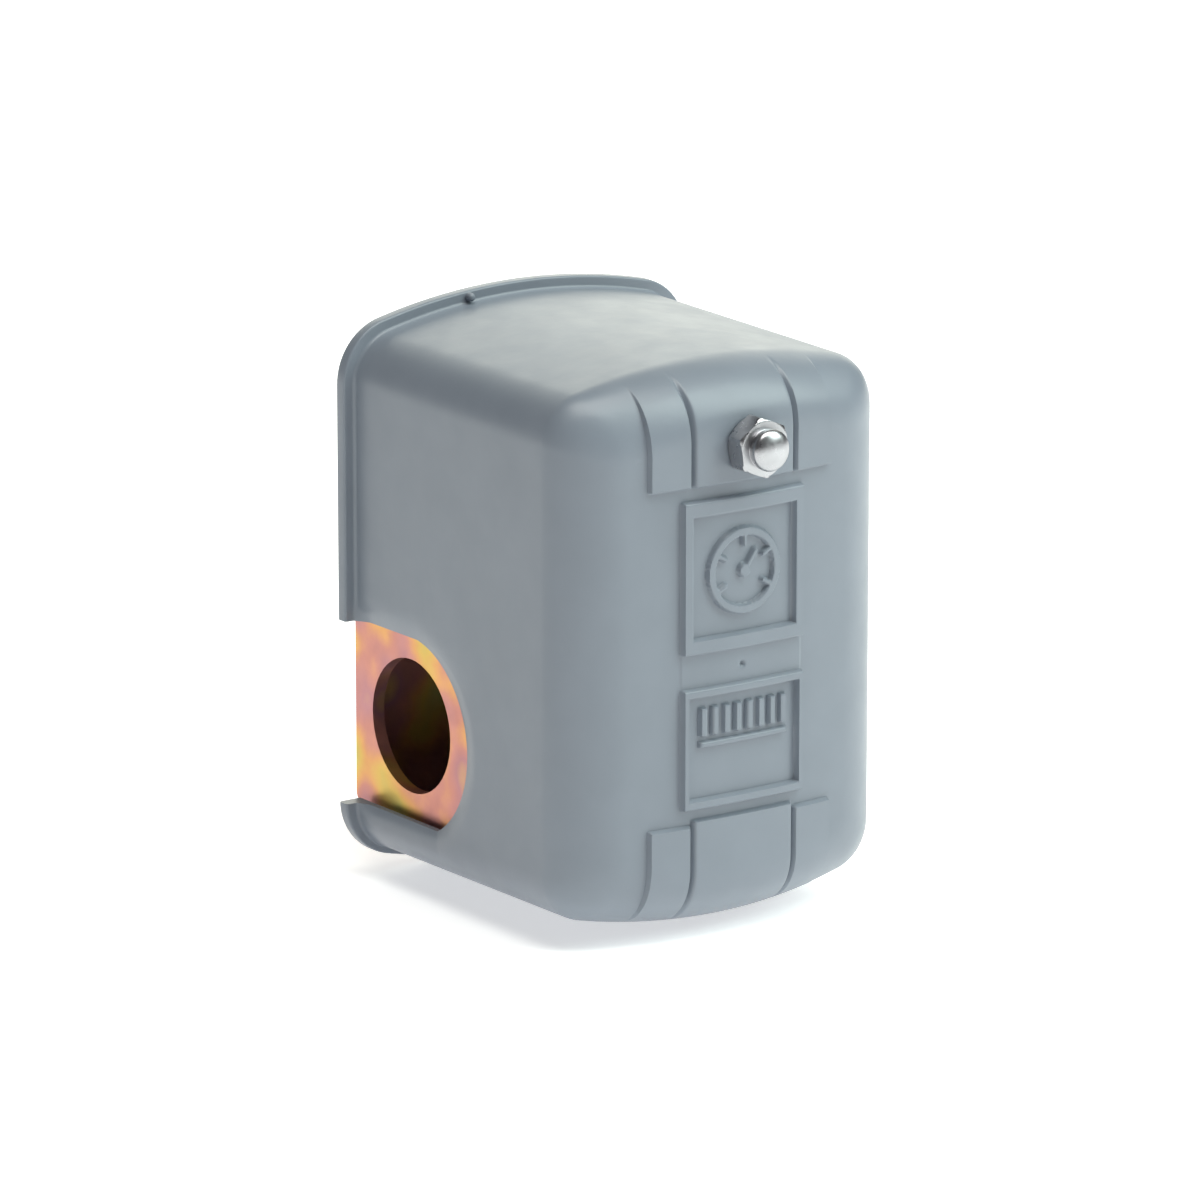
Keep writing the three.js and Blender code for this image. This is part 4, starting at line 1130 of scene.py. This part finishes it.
def coil_piece(name, node, wire, turns, span):
    """A stretch of a spring from span[0] to span[1] of its length, in wire of this radius."""
    sides = COIL_SIDES
    low, high = box_of(node)
    x, _, z = middle_of(node)
    radius = (high[0] - low[0]) / 2 - wire
    steps = math.ceil(turns * (span[1] - span[0]) * STEPS_PER_TURN)
    t = np.linspace(*span, steps + 1)
    centre = coil_line(t, radius, turns, wire, high[1] - wire, low[1] + wire, x, z)
    out = centre - np.array([x, 0, z])
    out[:, 1] = 0
    out /= np.linalg.norm(out, axis=1)[:, None]
    ahead = np.gradient(centre, axis=0)
    ahead /= np.linalg.norm(ahead, axis=1)[:, None]
    across = np.cross(ahead, out)
    angles = 2 * math.pi * np.arange(sides) / sides
    ring = [wire * (math.cos(a) * out + math.sin(a) * across) for a in angles]
    points = (centre[:, None] + np.stack(ring, 1)).reshape(-1, 3)
    faces = tube_faces(steps + 1, sides)
    faces += [tuple(range(sides)), tuple(range(steps * sides, (steps + 1) * sides))]
    piece = add_object(name, mesh_from(name, points, faces), FINISHES["spring_steel"])
    soften(piece, 50)
    return piece


def bend_between(piece, node, start, end):
    """Bakes a spring piece's place into its mesh and hides its node. Its start and end are not used."""
    x, _, z = middle_of(node) * MM
    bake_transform(piece)
    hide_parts(node)


def make_spring(node, wire, turns):
    """A spring between two moving bodies, made in two halves that meet at its middle."""
    low, high = box_of(node)
    middle = (low[1] + high[1]) / 2
    lower = coil_piece(f"{node}_foot_half", node, wire, turns, (0, 0.5))
    upper = coil_piece(f"{node}_head_half", node, wire, turns, (0.5, 1))
    bend_between(lower, node, high[1] - 2 * wire, middle)
    bend_between(upper, node, middle, low[1] + 2 * wire)


def make_contact_spring(side):
    """A short spring between the carrier and a contact."""
    node = f"contact_spring_{side}"
    low, high = box_of(node)
    piece = coil_piece(f"{node}_coil", node, wire=0.35, turns=3.5, span=(0, 1))
    bend_between(piece, node, high[1], low[1])


# ---- pressure side ----


def make_piston():
    """A disc with a stepped nose towards the pressure plate."""
    low, high = box_of("piston")
    radius = (high - low)[0] / 2
    profile = [
        (0, high[1]), (radius, high[1]), (radius, high[1] - 3.3), (8, high[1] - 3.9), (6, low[1] + 0.6),
        (3, low[1]), (0, low[1]),
    ]
    turned("piston_cup", "piston", "white_nylon", profile, sides=64)


def make_diaphragm():
    """A plain rubber disc."""
    low, high = box_of("diaphragm")
    radius = (high - low)[0] / 2
    profile = [(0, high[1]), (radius, high[1]), (radius, low[1]), (0, low[1])]
    turned("diaphragm_sheet", "diaphragm", "rubber", profile, soft=0.3, sides=72)


def make_housing():
    """The cast cup with its hexagon, and the threaded port through it."""
    low, high = box_of("pressure_housing")
    radius = (high - low)[0] / 2
    front = low[1]
    back = front + 3.2
    bore = PORT_BORE
    profile = [
        (13.2, front), (radius, front), (radius, back), (14.4, back), (12.6, -14.8), (10.3, -13.8),
        (10.3, -12.2), (10.15, -12), (10.15, -0.8), (9.2, 0), (bore + 1.2, 0), (bore, -1.2),
        (bore, -17.4), (9, -17.4), (13.2, front + 1.6),
    ]
    rows = rounded_profile(profile, 0.5, steps=4, closed=True)
    mesh = turned_mesh(
        "pressure_housing_cast", rows, 0, 0, sides=96, hexagon=Hexagon(PORT_FLATS, -12.1, 0.1),
        thread=Thread(bore, -16.8, -1.2, PORT_PITCH, depth=-0.7), closed=True,
    )
    finish("pressure_housing_cast", "pressure_housing", "bright_zinc", mesh, sharp=32)


# ---- contacts ----


def contact_button(name, node, x, back, face, z):
    """A silver button with a rounded edge."""
    radius = BUTTON_RADIUS
    profile = [(0, back), (radius, back), (radius, face + BUTTON_EDGE), (radius - 0.6, face), (0, face)]
    turned(
        name, node, "brass", profile, soft=0.2, sides=28, stands_for=False, material="contact_silver",
        at=(x, 0, z),
    )


def make_moving_contact(node):
    """A brass bridge with a silver button near each end."""
    bevelled(f"{node}_bridge", node, "brass", width=0.2)
    low, high = box_of(node)
    z = middle_of(node)[2]
    for i, x in enumerate((low[0] + BUTTON_INSET, high[0] - BUTTON_INSET)):
        contact_button(f"{node}_silver_{i + 1}", node, x, low[1] + 0.5, low[1] - 0.05, z)


# ---- the pieces ----

make_cover()
make_rim_nub()
make_cap_nut()
bevelled("base_frame_sheet", "base_frame", "yellow_zinc", width=0.45, segments=3)
bevelled("pressure_plate_sheet", "pressure_plate", "yellow_zinc", width=0.4)
bevelled("contact_carrier_moulding", "contact_carrier", "white_nylon", width=0.3)
bevelled("terminal_block_moulding", "terminal_block", "black_phenolic", width=0.35, segments=3)
for index in range(1, 5):
    bevelled(f"terminal_plate_{index}_strip", f"terminal_plate_{index}", "brass", width=0.15)
    bevelled(f"wire_clamp_{index}_washer", f"wire_clamp_{index}", "bright_zinc", width=0.2)
    make_slotted_screw(f"terminal_screw_{index}", "bright_zinc", head=2.9)
for side in ("left", "right"):
    make_moving_contact(f"moving_contact_{side}")
    make_slotted_screw(f"terminal_block_screw_{side}", "bright_zinc", head=1.8)
    make_slotted_screw(f"ground_screw_{side}", "green_zinc", head=3.2)
for index in range(1, 7):
    make_housing_screw(f"housing_screw_{index}")
for node in ("plate_pivot_pin", "carrier_pivot_pin"):
    make_pin(node)
make_stud("range_stud", radius=3.1, pitch=1.27, end_radius=2.05, end_length=14.3)
make_stud("differential_stud", radius=2.05, pitch=0.79)
make_nut("range_nut", flats=11.1, hole=3.4, turn=15)
make_nut("differential_nut", flats=7.9, hole=2.35, turn=0)
make_seat("range_spring_seat", boss=6.55, hole=3.4)
make_seat("differential_spring_seat", boss=3.5, hole=2.35)
make_piston()
make_diaphragm()
make_housing()
make_spring("range_spring", wire=1.15, turns=7)
make_spring("differential_spring", wire=0.7, turns=7)
make_spring("toggle_spring", wire=0.5, turns=8)
for side in ("left", "right"):
    make_contact_spring(side)

# ---- floor, light and camera ----

CAMERA_AZIMUTH = -35.3
CAMERA_ELEVATION = 14.71
CAMERA_DISTANCE = 1353.3
CAMERA_TARGET = (-3.99, -58.8, -10.56)
CAMERA_LENS = 254.0
SENSOR = 36.0
FLOOR_HALF = 4000


def make_floor():
    """White paper that the cover's lower rim stands on, reaching past the picture's edges."""
    nodes = Nodes("floor_paper")
    mottled(nodes, (0.93, 0.93, 0.93), size=400, contrast=0.004)
    nodes.set(Roughness=0.75, Specular_IOR_Level=0.2)
    nodes.set(Emission_Color=(1.0, 1.0, 1.0), Emission_Strength=0.5)
    ways = [(-1, -1), (1, -1), (1, 1), (-1, 1)]
    corners = [(x * FLOOR_HALF * MM, y * FLOOR_HALF * MM, cover_low[2] * MM) for x, y in ways]
    mesh = bpy.data.meshes.new("floor")
    mesh.from_pydata(corners, [], [(0, 1, 2, 3)])
    floor = add_object("floor", mesh, nodes.material)
    floor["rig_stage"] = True


def direction(azimuth, elevation):
    """Unit vector from the part towards an azimuth and elevation in degrees."""
    a, e = math.radians(azimuth), math.radians(elevation)
    return Vector((math.sin(a) * math.cos(e), -math.cos(a) * math.cos(e), math.sin(e)))


def make_lamp(name, azimuth, elevation, distance, size, power, colour):
    """A soft box that faces the part from a distance."""
    lamp = bpy.data.lights.new(name, "AREA")
    lamp.shape = "RECTANGLE"
    lamp.size, lamp.size_y = size[0] * MM, size[1] * MM
    lamp.energy = power
    lamp.color = colour
    holder = bpy.data.objects.new(name, lamp)
    bpy.context.scene.collection.objects.link(holder)
    way = direction(azimuth, elevation)
    holder.location = Vector(CAMERA_TARGET) * MM + way * distance * MM
    holder.rotation_euler = (-way).to_track_quat("-Z", "Y").to_euler()


def make_light():
    world = bpy.data.worlds.new("studio")
    world.use_nodes = True
    background = world.node_tree.nodes["Background"]
    background.inputs["Color"].default_value = (0.96, 0.93, 1.0, 1)
    background.inputs["Strength"].default_value = 0.08
    bpy.context.scene.world = world
    make_lamp("overhead", -20, 80, distance=2400, size=(1600, 1600), power=44, colour=(1.0, 1.0, 0.95))
    make_lamp("back", 148, 20, distance=1400, size=(1600, 900), power=9, colour=(1.0, 1.0, 0.88))
    make_lamp("front", 45, 42, distance=1100, size=(700, 900), power=10.5, colour=(0.87, 1.0, 0.94))


def make_camera():
    data = bpy.data.cameras.new("camera")
    data.lens = CAMERA_LENS
    data.sensor_width = SENSOR
    data.clip_end = 20
    camera = bpy.data.objects.new("camera", data)
    bpy.context.scene.collection.objects.link(camera)
    back = direction(CAMERA_AZIMUTH, CAMERA_ELEVATION)
    camera.location = (Vector(CAMERA_TARGET) + back * CAMERA_DISTANCE) * MM
    camera.rotation_euler = (-back).to_track_quat("-Z", "Y").to_euler()
    bpy.context.scene.camera = camera


make_floor()
make_light()
make_camera()
bpy.context.scene.view_settings.view_transform = "Standard"

boxes = {"cad": cad_box, "visual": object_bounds()}
{key: [list(corner) for corner in box] for key, box in boxes.items()}
